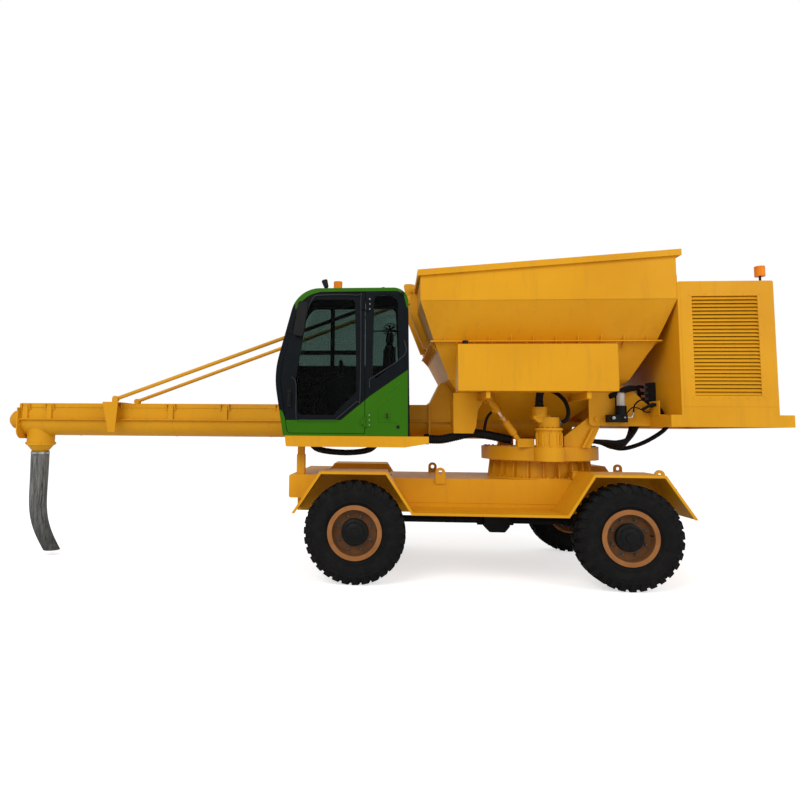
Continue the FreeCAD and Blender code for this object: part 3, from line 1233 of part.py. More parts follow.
def boom():
    start, end = ahead("end_flange_ahead"), ahead("root_ahead")
    inside = "(trough_half - trough_wall)"
    shell = body()
    pad(shell, "YZ_Plane", trough_outline("trough_half", "lid_bottom + 40"), start, f"{end} - {start}")
    for sign in ("-", ""):
        low, high = f"{sign}(trough_half - 3)", f"{sign}(trough_half + trough_flange)"
        pad(shell, "YZ_Plane", rectangle((low, high), ("trough_axis", "trough_axis + trough_flange_thick")),
            start, f"{end} - {start}")
    pocket(shell, "YZ_Plane", trough_outline(inside, "lid_bottom + 41"),
           f"{start} - 1", f"{end} - {start} + 2")
    pad(shell, "YZ_Plane",
        [(f"{a}(trough_half + root_flange_out)", b) for a, b in
         (("-", "trough_axis - trough_half - 30"), ("", "trough_axis - trough_half - 30"),
          ("", "lid_top + 20"), ("-", "lid_top + 20"))],
        f"{end} - root_flange", "root_flange")
    pad(shell, "YZ_Plane", [
        ("-(trough_half + 62)", "lid_bottom - 6"),
        ("-(trough_half + 62)", "trough_axis - trough_half - 46", "120"),
        ("(trough_half + 62)", "trough_axis - trough_half - 46", "120"),
        ("(trough_half + 62)", "lid_bottom - 6"),
    ], start, "end_flange")
    opening = rod("Z", (ahead("spout_ahead"), "0", "trough_axis - trough_half - 40"), "trough_half",
                  "spout_mouth - spout_wall")
    node(cut(shell, opening), "boom_trough")

    lid_start = f"({start} + end_flange + 4)"
    lid_end = f"({end} - root_flange - 4)"
    lid = body()
    pad(lid, "YZ_Plane", [
        ("-(trough_half + seat_gap + lid_plate)", "lid_bottom"),
        ("-(trough_half + seat_gap)", "lid_bottom"),
        ("-(trough_half + seat_gap)", "lid_top - lid_plate"),
        ("(trough_half + seat_gap)", "lid_top - lid_plate"),
        ("(trough_half + seat_gap)", "lid_bottom"),
        ("(trough_half + seat_gap + lid_plate)", "lid_bottom"),
        ("(trough_half + seat_gap + lid_plate)", "lid_top"),
        ("-(trough_half + seat_gap + lid_plate)", "lid_top"),
    ], lid_start, f"{lid_end} - {lid_start}")
    for sign in ("-", ""):
        def bar(middle):
            return pad(lid, "YZ_Plane",
                       rectangle((f"{sign}(trough_half + seat_gap)",
                                   f"{sign}(trough_half + trough_flange - 12)"),
                                 ("trough_axis + trough_flange_thick", "lid_bottom + 20")),
                       f"{ahead(middle)} - clamp_wide / 2", "clamp_wide")

        def tab(middle):
            return pad(lid, "YZ_Plane",
                       rectangle((f"{sign}(trough_half + seat_gap)",
                                   f"{sign}(trough_half + seat_gap + lid_plate + 4)"),
                                 ("lid_bottom - 30", "lid_bottom + 8")),
                       f"{ahead(middle)} - clamp_tab / 2", "clamp_tab")

        first = [bar("clamp_first_ahead"), tab("clamp_first_ahead")]
        row = lid.newObject("PartDesign::LinearPattern", "clamps")
        row.Originals = first
        row.Direction = ([item for item in lid.Origin.OriginFeatures if item.Role == "X_Axis"][0], [""])
        row.Reversed = True
        row.Mode = "Spacing"
        bind(row, "Offset", "clamp_pitch")
        bind(row, "Occurrences", "clamp_count")
        lid.Tip = row
        for middle in ("end_clamp_ahead", "last_clamp_ahead"):
            bar(middle)
            lid.Tip = tab(middle)
    node(lid, "boom_lid")

    drive = turned([
        ("0", "0"),
        ("end_drive_radius + 22", "0"),
        ("end_drive_radius + 22", "14"),
        ("end_drive_radius", "14"),
        ("end_drive_radius", "front_reach - end_flange_ahead - 44"),
        ("end_drive_radius - 44", "front_reach - end_flange_ahead"),
        ("0", "front_reach - end_flange_ahead"),
    ])
    drive.Placement = FreeCAD.Placement(Vector(), FreeCAD.Rotation(Vector(0, 1, 0), -90))
    bind(drive, "Placement.Base.x", start)
    bind(drive, "Placement.Base.z", "trough_axis")
    node(drive, "screw_motor")


def spout():
    x = ahead("spout_ahead")
    top = "(trough_axis - trough_half * 0.45)"
    outer = turned([
        ("0", "spout_bottom"),
        ("spout_mouth", "spout_bottom"),
        ("spout_mouth + 6", "spout_bottom + 52"),
        ("spout_radius - 8", "spout_band - 12"),
        ("spout_radius + 8", "spout_band - 12"),
        ("spout_radius + 8", "spout_band + 12"),
        ("spout_radius", "spout_band + 12"),
        ("spout_radius", top),
        ("0", top),
    ])
    place(outer, x)
    tunnel = end_slab(trough_outline("(trough_half + seat_gap)", "trough_axis"), f"{x} - 300", f"{x} + 300")
    bore = turned([
        ("0", "spout_bottom - 1"),
        ("spout_mouth - spout_wall", "spout_bottom - 1"),
        ("spout_mouth + 6 - spout_wall", "spout_bottom + 52"),
        ("spout_radius - 8 - spout_wall", "spout_band - 12"),
        ("spout_radius - spout_wall", "spout_band + 12"),
        ("spout_radius - spout_wall", f"{top} + 1"),
        ("0", f"{top} + 1"),
    ])
    place(bore, x)
    node(cut(outer, tunnel, bore), "discharge_spout")


HOSE_STATIONS = (0.0, 0.08, 0.3, 0.5, 0.65, 0.82, 1.0)


def hose_section(holder, share, grow):
    """An oval section of the hanging hose; share runs from 0 at the spout to 1 at the foot."""
    sketch = holder.newObject("Sketcher::SketchObject", "section")
    planes = [item for item in holder.Origin.OriginFeatures if item.Role == "XY_Plane"]
    sketch.AttachmentSupport = [(planes[0], "")]
    sketch.MapMode = "FlatFace"
    bind(sketch, "AttachmentOffset.Base.z", f"hose_top - {share} * (hose_top - hose_bottom)")
    bend = max(share - 0.5, 0) / 0.5
    bind(sketch, "AttachmentOffset.Base.x", f"{ahead('spout_ahead')} + hose_swing * {round(bend ** 2, 4)}")
    radius = f"spout_mouth + 6 + seat_gap + hose_wall + ({grow}) - {round(max(share - 0.08, 0) * 12, 2)}"
    index = sketch.addGeometry(Part.Circle(Vector(), Vector(0, 0, 1), value(radius)), False)
    sketch.addConstraint(Sketcher.Constraint("Coincident", index, 3, -1, 1))
    fixed = sketch.addConstraint(Sketcher.Constraint("Radius", index, value(radius)))
    sketch.setExpression(f"Constraints[{fixed}]", bound(radius))
    return sketch


def discharge_hose():
    hose = body()
    for kind, grow in (("PartDesign::AdditiveLoft", "0"), ("PartDesign::SubtractiveLoft", "-hose_wall")):
        sections = [hose_section(hose, share, grow) for share in HOSE_STATIONS]
        feature = hose.newObject(kind, "hose")
        feature.Profile = sections[0]
        feature.Sections = sections[1:]
    node(hose, "discharge_hose")


def yoke_and_stays():
    x, z = ahead("yoke_ahead"), "yoke_pin_height"
    front, back = f"({x} - yoke_long / 2 - 64)", f"({x} + yoke_long / 2 - 64)"
    foot = "(cheek_bottom - 18)"
    leg = side_slab([
        (f"{front} + yoke_lean + 15", foot),
        (front, "lid_top + 14"),
        (f"{x} - 38", "lid_top + 14"),
        (f"{x} - 38", f"{z} + 38", "34"),
        (f"{x} + 38", f"{z} + 38", "34"),
        (f"{x} + 38", "lid_top - 20"),
        (f"{back} - 26", foot),
    ], "yoke_half - 8", "yoke_half + 8")
    bridge = block((front, back), ("-(yoke_half - 8)", "yoke_half - 8"),
                   ("lid_top + seat_gap", "lid_top + 14"))
    gusset = end_slab([
        ("-(trough_half + trough_flange + seat_gap)", "trough_axis - 60"),
        ("-(trough_half + trough_flange + seat_gap)", "lid_top + seat_gap"),
        ("-(yoke_half - 8)", "lid_top + seat_gap"),
        ("-(yoke_half - 8)", "trough_axis - 90"),
    ], f"{x} - 64 - yoke_plate / 2", f"{x} - 64 + yoke_plate / 2")
    side = fuse(leg, gusset)
    node(fuse(side, mirrored(side), bridge), "boom_yoke")
    low = (x, "-(yoke_half - 10 - stay_radius)", z)
    high = (ahead("stay_head_ahead"), "-(stay_head_half - 10 - stay_radius)", "stay_head_height")
    stay = strut(low, high, "stay_radius", "10", "10")
    eyes = [rod("Y", (low[0], "-(yoke_half - 8)", low[2]), "2 * stay_radius + 4", "36"),
            rod("Y", (high[0], "-(stay_head_half - 8)", high[2]), "2 * stay_radius + 4", "36")]
    node(both_sides(fuse(stay, *eyes, refine=False)), "stay_rods")


def tanks():
    for side, label in (("-", "fuel_tank"), ("", "hydraulic_tank")):
        tank = body()
        low, high = (f"{side}tank_in", f"{side}tank_out")
        pad(tank, "YZ_Plane", rectangle((low, high), ("tank_bottom + seat_gap", "tank_top")),
            ahead("tank_front"), "tank_front + tank_rear")
        cap = rod("Z", (ahead("tank_front - 90"), f"{side}(tank_out - 90)", "tank_top"), "52", "34")
        node(fuse(tank, cap), label)


def engine():
    front, rear = behind("house_front"), behind("house_rear")
    house = body()
    pad(house, "XZ_Plane", [
        (front, "engine_deck_top"), (rear, "engine_deck_top"),
        (rear, "house_top", "20"), (front, "house_top", "20"),
    ], "-deck_half", "2 * deck_half")
    pocket(house, "XZ_Plane",
           rectangle((f"{front} + house_wall", f"{rear} - house_wall"),
                     ("engine_deck_top + house_wall", "house_top - house_wall")),
           "-(deck_half - house_wall)", "2 * (deck_half - house_wall)")
    pocket(house, "XZ_Plane",
           rectangle((behind("louvre_front"), behind("louvre_rear")), ("louvre_bottom", "louvre_top")),
           "-(deck_half + 1)", "2 * (deck_half + 1)")
    node(house, "engine_housing")

    panel = body()
    low, high = behind("louvre_front + seat_gap"), behind("louvre_rear - seat_gap")
    face = "deck_half - house_wall + 4"
    pad(panel, "XZ_Plane", rectangle((low, high), ("louvre_bottom + seat_gap", "louvre_top - seat_gap")),
        face, "house_wall - 4")
    pocket(panel, "XZ_Plane",
           rectangle((f"{low} + louvre_border", f"{high} - louvre_border"),
                     ("louvre_bottom + louvre_border", "louvre_top - louvre_border")),
           f"{face} - 1", "house_wall + 2")
    pitch = "((louvre_top - louvre_bottom - 2 * louvre_border - 4) / louvre_count)"
    foot = "(louvre_bottom + louvre_border + 4)"
    blade = pad(panel, "YZ_Plane", [
        ("-(deck_half - 1)", foot),
        ("-(deck_half - 1)", f"{foot} + blade_thick"),
        ("-(deck_half - house_wall + 5)", f"{foot} + {pitch} * 0.9"),
        ("-(deck_half - house_wall + 5)", f"{foot} + {pitch} * 0.9 - blade_thick"),
    ], f"{low} + louvre_border - 2", f"{high} - {low} - 2 * louvre_border + 4")
    rows = panel.newObject("PartDesign::LinearPattern", "blades")
    rows.Originals = [blade]
    rows.Direction = ([item for item in panel.Origin.OriginFeatures if item.Role == "Z_Axis"][0], [""])
    rows.Mode = "Spacing"
    bind(rows, "Offset", pitch)
    bind(rows, "Occurrences", "louvre_count")
    panel.Tip = rows
    node(both_sides(panel), "louvre_panels")
    node(block((behind("house_front + 120"), behind("house_rear - 120")), ("-420", "620"),
               ("engine_deck_top + house_wall", "engine_deck_top + 1000")), "engine_block")


# ---- cab ----------------------------------------------------------------------------------------

def cab_outline(inset="0"):
    d = f"({inset})"
    return [
        (f"{ahead('cab_front')} + {d}", f"cab_floor + {d}"),
        (f"{ahead('cab_nose')} + {d}", "cab_floor + 700", f"1000 - {d}"),
        (f"{ahead('cab_brow')} + {d}", f"cab_roof - {d}", f"330 - {d}"),
        (f"{ahead('cab_rear')} - {d} - 16", f"cab_roof - {d}", f"170 - {d}"),
        (f"{ahead('cab_rear')} - {d}", f"cab_floor + {d}"),
    ]


def door_outline(inset="0"):
    d = f"({inset})"
    return [
        (f"{ahead('door_hinge')} - {d}", f"cab_floor + 32 + {d}"),
        (f"{ahead('door_hinge')} - {d}", f"cab_roof - 56 - {d}"),
        (f"{ahead('cab_brow')} + 60 + {d}", f"cab_roof - 56 - {d}", f"280 - {d}"),
        (f"{ahead('cab_nose')} + 66 + {d}", "cab_floor + 700", f"900 - {d}"),
        (f"{ahead('cab_front')} + 50 + {d}", f"cab_floor + 32 + {d}", f"40 - {d}"),
    ]


def door_window(inset="0"):
    d = f"({inset})"
    return [
        (f"{ahead('door_hinge')} - 92 - {d}", "cab_floor + 496", f"30 - {d}"),
        (f"{ahead('door_hinge')} - 112 - {d}", f"cab_roof - 132 - {d}", f"60 - {d}"),
        (f"{ahead('cab_nose - 396')} + {d}", f"cab_roof - 132 - {d}", f"90 - {d}"),
        (f"{ahead('cab_nose - 250')} + {d}", "cab_floor + 620", f"400 - {d}"),
        (f"{ahead('cab_nose - 288')} + {d}", f"cab_floor + 236 + {d}", f"36 - {d}"),
        (f"{ahead('door_hinge')} - 348 - {d}", f"cab_floor + 236 + {d}", f"40 - {d}"),
    ]


def rear_quarter(inset="0"):
    d = f"({inset})"
    return [
        (f"{ahead('door_hinge - 86')} + {d}", f"cab_floor + 606 + {d}", f"30 - {d}"),
        (f"{ahead('cab_rear')} - 118 - {d}", f"cab_floor + 868 + {d}", f"60 - {d}"),
        (f"{ahead('cab_rear')} - 136 - {d}", f"cab_roof - 90 - {d}", f"90 - {d}"),
        (f"{ahead('door_hinge - 104')} + {d}", f"cab_roof - 90 - {d}", f"60 - {d}"),
    ]


def windscreen_cut(inset="0"):
    return rectangle((f"-(cab_out - 62 - {inset})", f"-(cab_in + 62 + {inset})"),
                     (f"cab_floor + 110 + {inset}", f"cab_roof - 170 - {inset}"))


def rear_cut(inset="0"):
    return rectangle((f"-(cab_out - 110 - {inset})", f"-(cab_in + 110 + {inset})"),
                     (f"cab_floor + 760 + {inset}", f"cab_roof - 150 - {inset}"))


def inner_side_cut(inset="0"):
    return [
        (f"{ahead('cab_nose - 148')} + {inset}", f"cab_floor + 869 + {inset}", "50"),
        (f"{ahead('cab_rear + 118')} - {inset}", f"cab_floor + 869 + {inset}", "50"),
        (f"{ahead('cab_rear + 150')} - {inset}", f"cab_roof - 82 - {inset}", "60"),
        (f"{ahead('cab_nose - 262')} + {inset}", f"cab_roof - 82 - {inset}", "60"),
    ]


def platform():
    beam = side_slab([
        (ahead("beam_front - 14"), "beam_bottom", "16"),
        (ahead("beam_rear + 260"), "beam_bottom"),
        (ahead("beam_rear"), "beam_bottom + 46"),
        (ahead("beam_rear"), "beam_top"),
        (ahead("beam_front"), "beam_top"),
    ], "cab_in", "cab_out")
    hollow = block((ahead("beam_front - 90"), ahead("beam_rear + 90")),
                   ("-(cab_out - 70)", "-(cab_in + 70)"),
                   ("beam_bottom - 10", "beam_top - 12"))
    saddles = []
    for x in ("beam_front - 300", "beam_rear + 260"):
        saddles.append(block((ahead(x), f"{ahead(x)} + 110"), ("-(cab_in + 20)", "trough_half + 40"),
                             ("beam_bottom + 6", "trough_axis - trough_half - seat_gap")))
        saddles.append(end_slab([
            ("-(trough_half + trough_flange)", "trough_axis - trough_half - 4"),
            ("-(trough_half + trough_flange)", "trough_axis - seat_gap"),
            ("-(trough_half + seat_gap + 8)", "trough_axis - seat_gap"),
            ("-(trough_half + seat_gap)", "trough_axis - trough_half - 4"),
        ], f"{ahead(x)} + 40", f"{ahead(x)} + 60"))
    node(fuse(cut(beam, hollow), *saddles), "cab_platform")


def cab():
    shell = side_slab(cab_outline(), "cab_in", "cab_out")
    inside = side_slab(cab_outline("cab_wall"), "cab_in + cab_wall", "cab_out - cab_wall")
    near = ("cab_out - cab_wall - 2", "cab_out + 2")
    far = ("cab_in - 2", "cab_in + cab_wall + 2")
    door_hole = side_slab(door_outline("-door_gap"), *near)
    quarter = side_slab(rear_quarter(), *near)
    inner_window = side_slab(inner_side_cut(), *far)
    front_hole = end_slab(windscreen_cut(), ahead("cab_nose + 200"), ahead("cab_brow - 40"))
    rear_hole = end_slab(rear_cut(), ahead("cab_rear + 130"), ahead("cab_rear - 20"))
    shell = cut(shell, inside, door_hole, quarter, inner_window, front_hole, rear_hole)
    node(fuse(shell, *shell_hinges()), "cab_shell")

    middle = "(cab_wall / 2)"
    panes = [
        side_slab(rear_quarter("seat_gap"), f"cab_out - {middle}", f"cab_out - {middle} + pane"),
        side_slab(inner_side_cut("seat_gap"), f"cab_in + {middle} - pane", f"cab_in + {middle}"),
        common(end_slab(rear_cut("seat_gap"), ahead("cab_rear + 130"), ahead("cab_rear - 20")),
               cut(side_slab(cab_outline(middle), "cab_in", "cab_out"),
                   side_slab(cab_outline(f"{middle} + pane"), "cab_in - 2", "cab_out + 2"))),
        common(end_slab(windscreen_cut("seat_gap"), ahead("cab_nose + 200"), ahead("cab_brow - 40")),
               cut(side_slab(cab_outline(middle), "cab_in", "cab_out"),
                   side_slab(cab_outline(f"{middle} + pane"), "cab_in - 2", "cab_out + 2"))),
    ]
    node(group(*panes), "cab_glass")


HINGES = ("(cab_floor + 130)", "(cab_roof - 250)")
HINGE_X = ahead("door_hinge - door_gap / 2")
HINGE_Y = "(-(cab_out + hinge_out))"


def shell_hinges():
    """The hinge halves on the cab: a plate, an eye above and below the door's, and the pin."""
    parts = []
    for height in HINGES:
        low, high = f"({height} - 26)", f"({height} + hinge_tall + 26)"
        parts.append(rod("Z", (HINGE_X, HINGE_Y, low), f"{high} - {low}", "hinge_pin"))
        parts.append(block((f"{HINGE_X} + 15", f"{HINGE_X} + 52"),
                           ("-(cab_out + 8)", "-(cab_out - 1)"), (low, high)))
        for start, end in ((low, f"{height} - seat_gap"), (f"{height} + hinge_tall + seat_gap", high)):
            parts.append(rod("Z", (HINGE_X, HINGE_Y, start), f"{end} - ({start})", "hinge_pin + 5"))
            parts.append(block((HINGE_X, f"{HINGE_X} + 20"),
                               (f"{HINGE_Y} - 3", "-(cab_out - 1)"), (start, end)))
    return parts


def cab_door():
    leaf = side_slab(door_outline(), "cab_out - cab_wall", "cab_out")
    window = side_slab(door_window(), "cab_out - cab_wall - 2", "cab_out + 2")
    leaves, bores = [], []
    for height in HINGES:
        leaves.append(rod("Z", (HINGE_X, HINGE_Y, height), "hinge_tall", "hinge_pin + 5"))
        leaves.append(block((ahead("door_hinge + 40"), HINGE_X), (f"{HINGE_Y} - 3", "-(cab_out - 1)"),
                            (height, f"{height} + hinge_tall")))
        bores.append(rod("Z", (HINGE_X, HINGE_Y, height), "hinge_tall", "hinge_pin + running_gap"))
    node(cut(fuse(cut(leaf, window), *leaves), *bores), "cab_door")
    node(side_slab(door_window("seat_gap"), "cab_out - cab_wall / 2", "cab_out - cab_wall / 2 + pane"),
         "door_glass")


def cab_inside():
    x = "(cab_rear + 130)"
    floor = "(cab_floor + cab_wall)"
    low, high = f"{CAB_MID} - 240", f"{CAB_MID} + 240"
    cushion = side_slab([
        (ahead(f"{x} + 620"), f"{floor} + 400", "40"),
        (ahead(f"{x} + 60"), f"{floor} + 360", "30"),
        (ahead(f"{x}"), f"{floor} + 1180", "60"),
        (ahead(f"{x} + 110"), f"{floor} + 1200", "50"),
        (ahead(f"{x} + 180"), f"{floor} + 500", "60"),
        (ahead(f"{x} + 620"), f"{floor} + 520", "50"),
    ], low, high)
    base = block((ahead(f"{x} + 500"), ahead(f"{x} + 120")), (f"-({high} - 60)", f"-({low} + 60)"),
                 (f"{floor} + seat_gap", f"{floor} + 420"))
    node(fuse(cushion, base), "operator_seat")
    consoles = []
    for low, high in ((f"{CAB_MID} - 340", f"{CAB_MID} - 250"), (f"{CAB_MID} + 250", f"{CAB_MID} + 340")):
        consoles.append(side_slab([
            (ahead(f"{x} + 700"), f"{floor} + seat_gap"),
            (ahead(f"{x} + 300"), f"{floor} + seat_gap"),
            (ahead(f"{x} + 200"), f"{floor} + 640", "20"),
            (ahead(f"{x} + 720"), f"{floor} + 620", "40"),
        ], low, high))
    node(group(*consoles), "control_consoles")


def hose(points, radius):
    """A round hose bent through points given as expressions."""
    path = [Vector(*[value(text) for text in point]) for point in points]
    curve = Part.BSplineCurve()
    curve.interpolate(path)
    spine = doc.addObject("Part::Feature", "spine")
    spine.Shape = Part.Wire([curve.toShape()])
    ring = doc.addObject("Part::Circle", "ring")
    bind(ring, "Radius", radius)
    heading = curve.tangent(curve.FirstParameter)[0]
    ring.Placement = FreeCAD.Placement(path[0], FreeCAD.Rotation(Vector(0, 0, 1), heading))
    swept = doc.addObject("Part::Sweep", "hose")
    swept.Sections = [ring]
    swept.Spine = (spine, ["Edge1"])
    swept.Solid = True
    swept.Frenet = False
    return swept


def hoses():
    """The hoses that the upper structure carries: none touches its neighbour."""
    y = "-conduit_out"
    conduit = [(ahead(at), y, height) for at, height in
               (("beam_rear - 10", "1586"), ("1270", "1584"), ("1090", "1622"), ("891", "1664"),
                ("673", "1636"), ("420", "1586"))]
    sleeve = rod("X", (ahead("beam_rear - seat_gap"), y, "1586"), "44", "conduit_radius + 7")
    bundle = [fuse(hose(conduit, "conduit_radius"), sleeve, refine=False)]
    under = "(beam_top - 12 - seat_gap)"
    for k in range(2):
        side = f"-(740 - {k} * 110)"
        run = [(ahead(at), side, height) for at, height in
               (("2850", "1590"), ("2848", "1540"), ("2740", "1452"), ("2430", "1420"),
                ("2160", "1452"), ("2052", "1540"), ("2050", "1590"))]
        ends = [block((f"{ahead(at)} - 44", f"{ahead(at)} + 44"), (f"{side} - 44", f"{side} + 44"),
                      (f"{under} - 34", under)) for at in ("2850", "2050")]
        bundle.append(fuse(hose(run, "loom_radius"), *ends, refine=False))
    for k in range(4):
        side = f"-(feed_hose_out - {k} * feed_hose_pitch)"
        run = [(behind(at), side, f"{height}") for at, height in
               (("250", 1575), ("480", 1578), ("660", 1574 - 4 * k), ("800", 1568 - 20 * k),
                ("925", 1606 - 30 * k), ("1005", 1704 - 24 * k), ("1050", 1788 - 6 * k),
                ("deck_front - 30", 1815))]
        collar_start = (behind("deck_front - 50 - seat_gap"), side, "1815")
        collar = rod("X", collar_start, "50", "feed_hose_radius + 5")
        bundle.append(fuse(hose(run, "feed_hose_radius"), collar, refine=False))
    side = "-(feed_hose_out - 4 * feed_hose_pitch)"
    run = [(behind(at), side, height) for at, height in
           (("250", "1576"), ("480", "1580"), ("660", "1572"), ("920", "1488"), ("1180", "1552"),
            ("1420", "1690"), ("1520", "1800"), ("1528", "1846"))]
    under = "(engine_deck_top - 16 - seat_gap)"
    end = block((behind("1488"), behind("1568")), (f"{side} - 40", f"{side} + 40"),
                (f"{under} - 30", under))
    bundle.append(fuse(hose(run, "feed_hose_radius"), end, refine=False))
    node(group(*bundle), "hydraulic_hoses")


def fittings():
    pump_x, pump_y = behind("side_front + 187"), "(side_in + side_plate)"
    z = "(side_bottom + 42)"
    base = block((pump_x, f"{pump_x} + 212"), (f"-({pump_y} + 120)", f"-{pump_y}"), (z, f"{z} + 88"))
    drum_x, drum_y = f"({pump_x} + 155)", f"-({pump_y} + 66)"
    lower = rod("Z", (drum_x, drum_y, f"{z} + 88"), "104", "62")
    cap = rod("Z", (drum_x, drum_y, f"{z} + 345"), "24", "62")
    post_span = (f"{drum_x} - 40", f"{drum_x} + 40")
    post = block(post_span, (f"-({pump_y} + 20)", f"-{pump_y}"), (f"{z} + 80", f"{z} + 365"))
    shelf = block(post_span, (f"{drum_y} - 2", f"-{pump_y}"), (f"{z} + 345", f"{z} + 365"))
    node(fuse(base, lower, cap, post, shelf), "grease_pump")
    node(rod("Z", (drum_x, drum_y, f"{z} + 192.3"), "152.4", "44"), "grease_reservoir")
    bank_x = f"({behind('deck_front')} + 40)"
    bank = block((f"{bank_x}", f"{bank_x} + 74"), ("-560", "-440"),
                 ("engine_deck_top + seat_gap", "engine_deck_top + 400"))
    node(bank, "valve_bank")
    beacons = []
    for x, y, z in ((ahead("cab_rear + 850"), f"-({CAB_MID} + 20)", "cab_roof"),
                    (behind("house_rear - 98"), "-(deck_half - 60)", "house_top")):
        beacons.append(rod("Z", (x, y, z), "110", "12"))
        beacons.append(rod("Z", (x, y, f"{z} + 60"), "110", "52"))
    node(group(fuse(*beacons[:2]), fuse(*beacons[2:])), "beacons")
    plate = side_slab([
        (ahead("2996"), "2760", "30"),
        (ahead("2940"), "3150", "30"),
        (ahead("2830"), "3130", "30"),
        (ahead("2886"), "2740", "30"),
    ], "cab_out + 26", "cab_out + 66")
    arm = rod("Y", (ahead("2870"), "-(cab_out + 30)", "3010"), "30", "9")
    node(fuse(plate, arm), "mirror")


def main():
    chassis()
    pedestal()
    axles()
    drive_line()
    lifting_lugs()
    rest_post()
    steering()
    wheels()
    turntable()
    slew_drive()
    rams()
    upper_frame()
    hopper()
    feed_trough()
    feed_screw()
    boom()
    spout()
    discharge_hose()
    yoke_and_stays()
    tanks()
    engine()
    platform()
    cab()
    cab_door()
    cab_inside()
    hoses()
    fittings()
    doc.recompute()
    write_parts()


def write_parts():
    """Check every object, then write one STEP file for each sub-part."""
    for thing in doc.Objects:
        bad = {"Invalid", "Error"} & set(thing.State)
        assert not bad, f"{thing.Name} ({thing.Label}) is {sorted(bad)}"
    for thing in NODES:
        shape = thing.Shape
        assert not shape.isNull() and shape.isValid(), f"{thing.Label} has no valid shape"
        assert shape.Solids, f"{thing.Label} holds no solid"
    os.makedirs("parts", exist_ok=True)
    for thing in NODES:
        thing.Shape.exportStep(f"parts/{thing.Label}.step")
        print(f"{thing.Label}: {len(thing.Shape.Solids)} solid(s), {thing.Shape.Volume / 1e9:.4f} m3")


main()
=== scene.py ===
"""Looks of the wheeled concrete placing boom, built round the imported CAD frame. Metres; +X is the
engine end, -Y the cab side, +Z up."""
import json
import math

import bmesh
import bpy
from mathutils import Matrix, Vector


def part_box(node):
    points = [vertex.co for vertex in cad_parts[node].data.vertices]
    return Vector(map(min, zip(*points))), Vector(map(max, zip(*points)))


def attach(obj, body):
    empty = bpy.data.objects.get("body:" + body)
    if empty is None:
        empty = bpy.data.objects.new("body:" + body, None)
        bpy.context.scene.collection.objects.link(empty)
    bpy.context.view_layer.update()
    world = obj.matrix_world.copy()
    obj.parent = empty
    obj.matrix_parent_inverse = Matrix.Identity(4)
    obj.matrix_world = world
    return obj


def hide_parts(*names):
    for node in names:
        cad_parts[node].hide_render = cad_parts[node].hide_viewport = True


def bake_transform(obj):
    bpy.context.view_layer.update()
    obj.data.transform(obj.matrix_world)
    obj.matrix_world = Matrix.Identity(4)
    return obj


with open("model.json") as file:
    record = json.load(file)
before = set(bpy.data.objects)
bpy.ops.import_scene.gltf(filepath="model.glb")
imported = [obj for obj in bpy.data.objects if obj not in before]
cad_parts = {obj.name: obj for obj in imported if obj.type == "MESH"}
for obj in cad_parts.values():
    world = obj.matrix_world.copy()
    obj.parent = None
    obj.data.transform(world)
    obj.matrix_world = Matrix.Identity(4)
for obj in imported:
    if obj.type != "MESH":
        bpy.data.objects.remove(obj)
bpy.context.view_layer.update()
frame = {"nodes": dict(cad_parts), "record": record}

NODES = frame["nodes"]
LEFT, RIGHT = SIDES = (-1, 1)
UP, DOWN = (0, 0, 1), (0, 0, -1)


def node_box(name):
    low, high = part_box(name)
    return Vector(low), Vector(high)


# ---- materials -------------------------------------------------------------------------------------

class Mat:
    """A small builder round one material's node tree."""

    def __init__(self, name):
        self.material = bpy.data.materials.new(name)
        self.material.use_nodes = True
        self.tree = self.material.node_tree
        self.shader = self.tree.nodes["Principled BSDF"]
        self.height = None
        self.place = self.tree.nodes.new("ShaderNodeTexCoord").outputs["Object"]

    def node(self, kind, **inputs):
        made = self.tree.nodes.new(kind)
        for key, value in inputs.items():
            self.put(made.inputs[key.replace("_", " ")], value)
        return made

    def put(self, socket, value):
        if isinstance(value, bpy.types.NodeSocket):
            self.tree.links.new(value, socket)
        elif isinstance(value, tuple) and len(value) == 3 and len(socket.default_value) == 4:
            socket.default_value = (*value, 1)
        else:
            socket.default_value = value

    def set(self, **inputs):
        for key, value in inputs.items():
            self.put(self.shader.inputs[key.replace("_", " ")], value)
        return self

    def noise(self, scale, detail=4.0, roughness=0.6, stretch=None):
        where = self.place
        if stretch:
            mapping = self.node("ShaderNodeMapping", Vector=where)
            mapping.inputs["Scale"].default_value = stretch
            where = mapping.outputs[0]
        made = self.node("ShaderNodeTexNoise", Vector=where, Scale=scale, Detail=detail,
                         Roughness=roughness)
        return made.outputs["Fac"]

    def ramp(self, factor, *stops):
        made = self.node("ShaderNodeValToRGB", Fac=factor)
        elements = made.color_ramp.elements
        while len(elements) < len(stops):
            elements.new(0.5)
        for element, (position, colour) in zip(elements, stops):
            element.position = position
            element.color = (*colour, 1) if isinstance(colour, tuple) else (colour, colour, colour, 1)
        return made.outputs[0]

    def mix(self, factor, first, second):
        made = self.tree.nodes.new("ShaderNodeMix")
        made.data_type = "RGBA"
        made.clamp_factor = True
        for index, value in ((0, factor), (6, first), (7, second)):
            self.put(made.inputs[index], value)
        return made.outputs[2]

    def math(self, operation, first, second=0.0):
        made = self.tree.nodes.new("ShaderNodeMath")
        made.operation = operation
        self.put(made.inputs[0], first)
        self.put(made.inputs[1], second)
        return made.outputs[0]

    def axis(self, name):
        split = self.node("ShaderNodeSeparateXYZ", Vector=self.place)
        return split.outputs[name]

    def bump(self, height, strength, distance):
        made = self.node("ShaderNodeBump", Strength=strength, Distance=distance, Height=height)
        if self.height:
            self.put(made.inputs["Normal"], self.height)
        self.height = made.outputs[0]
        self.put(self.shader.inputs["Normal"], self.height)
        return self


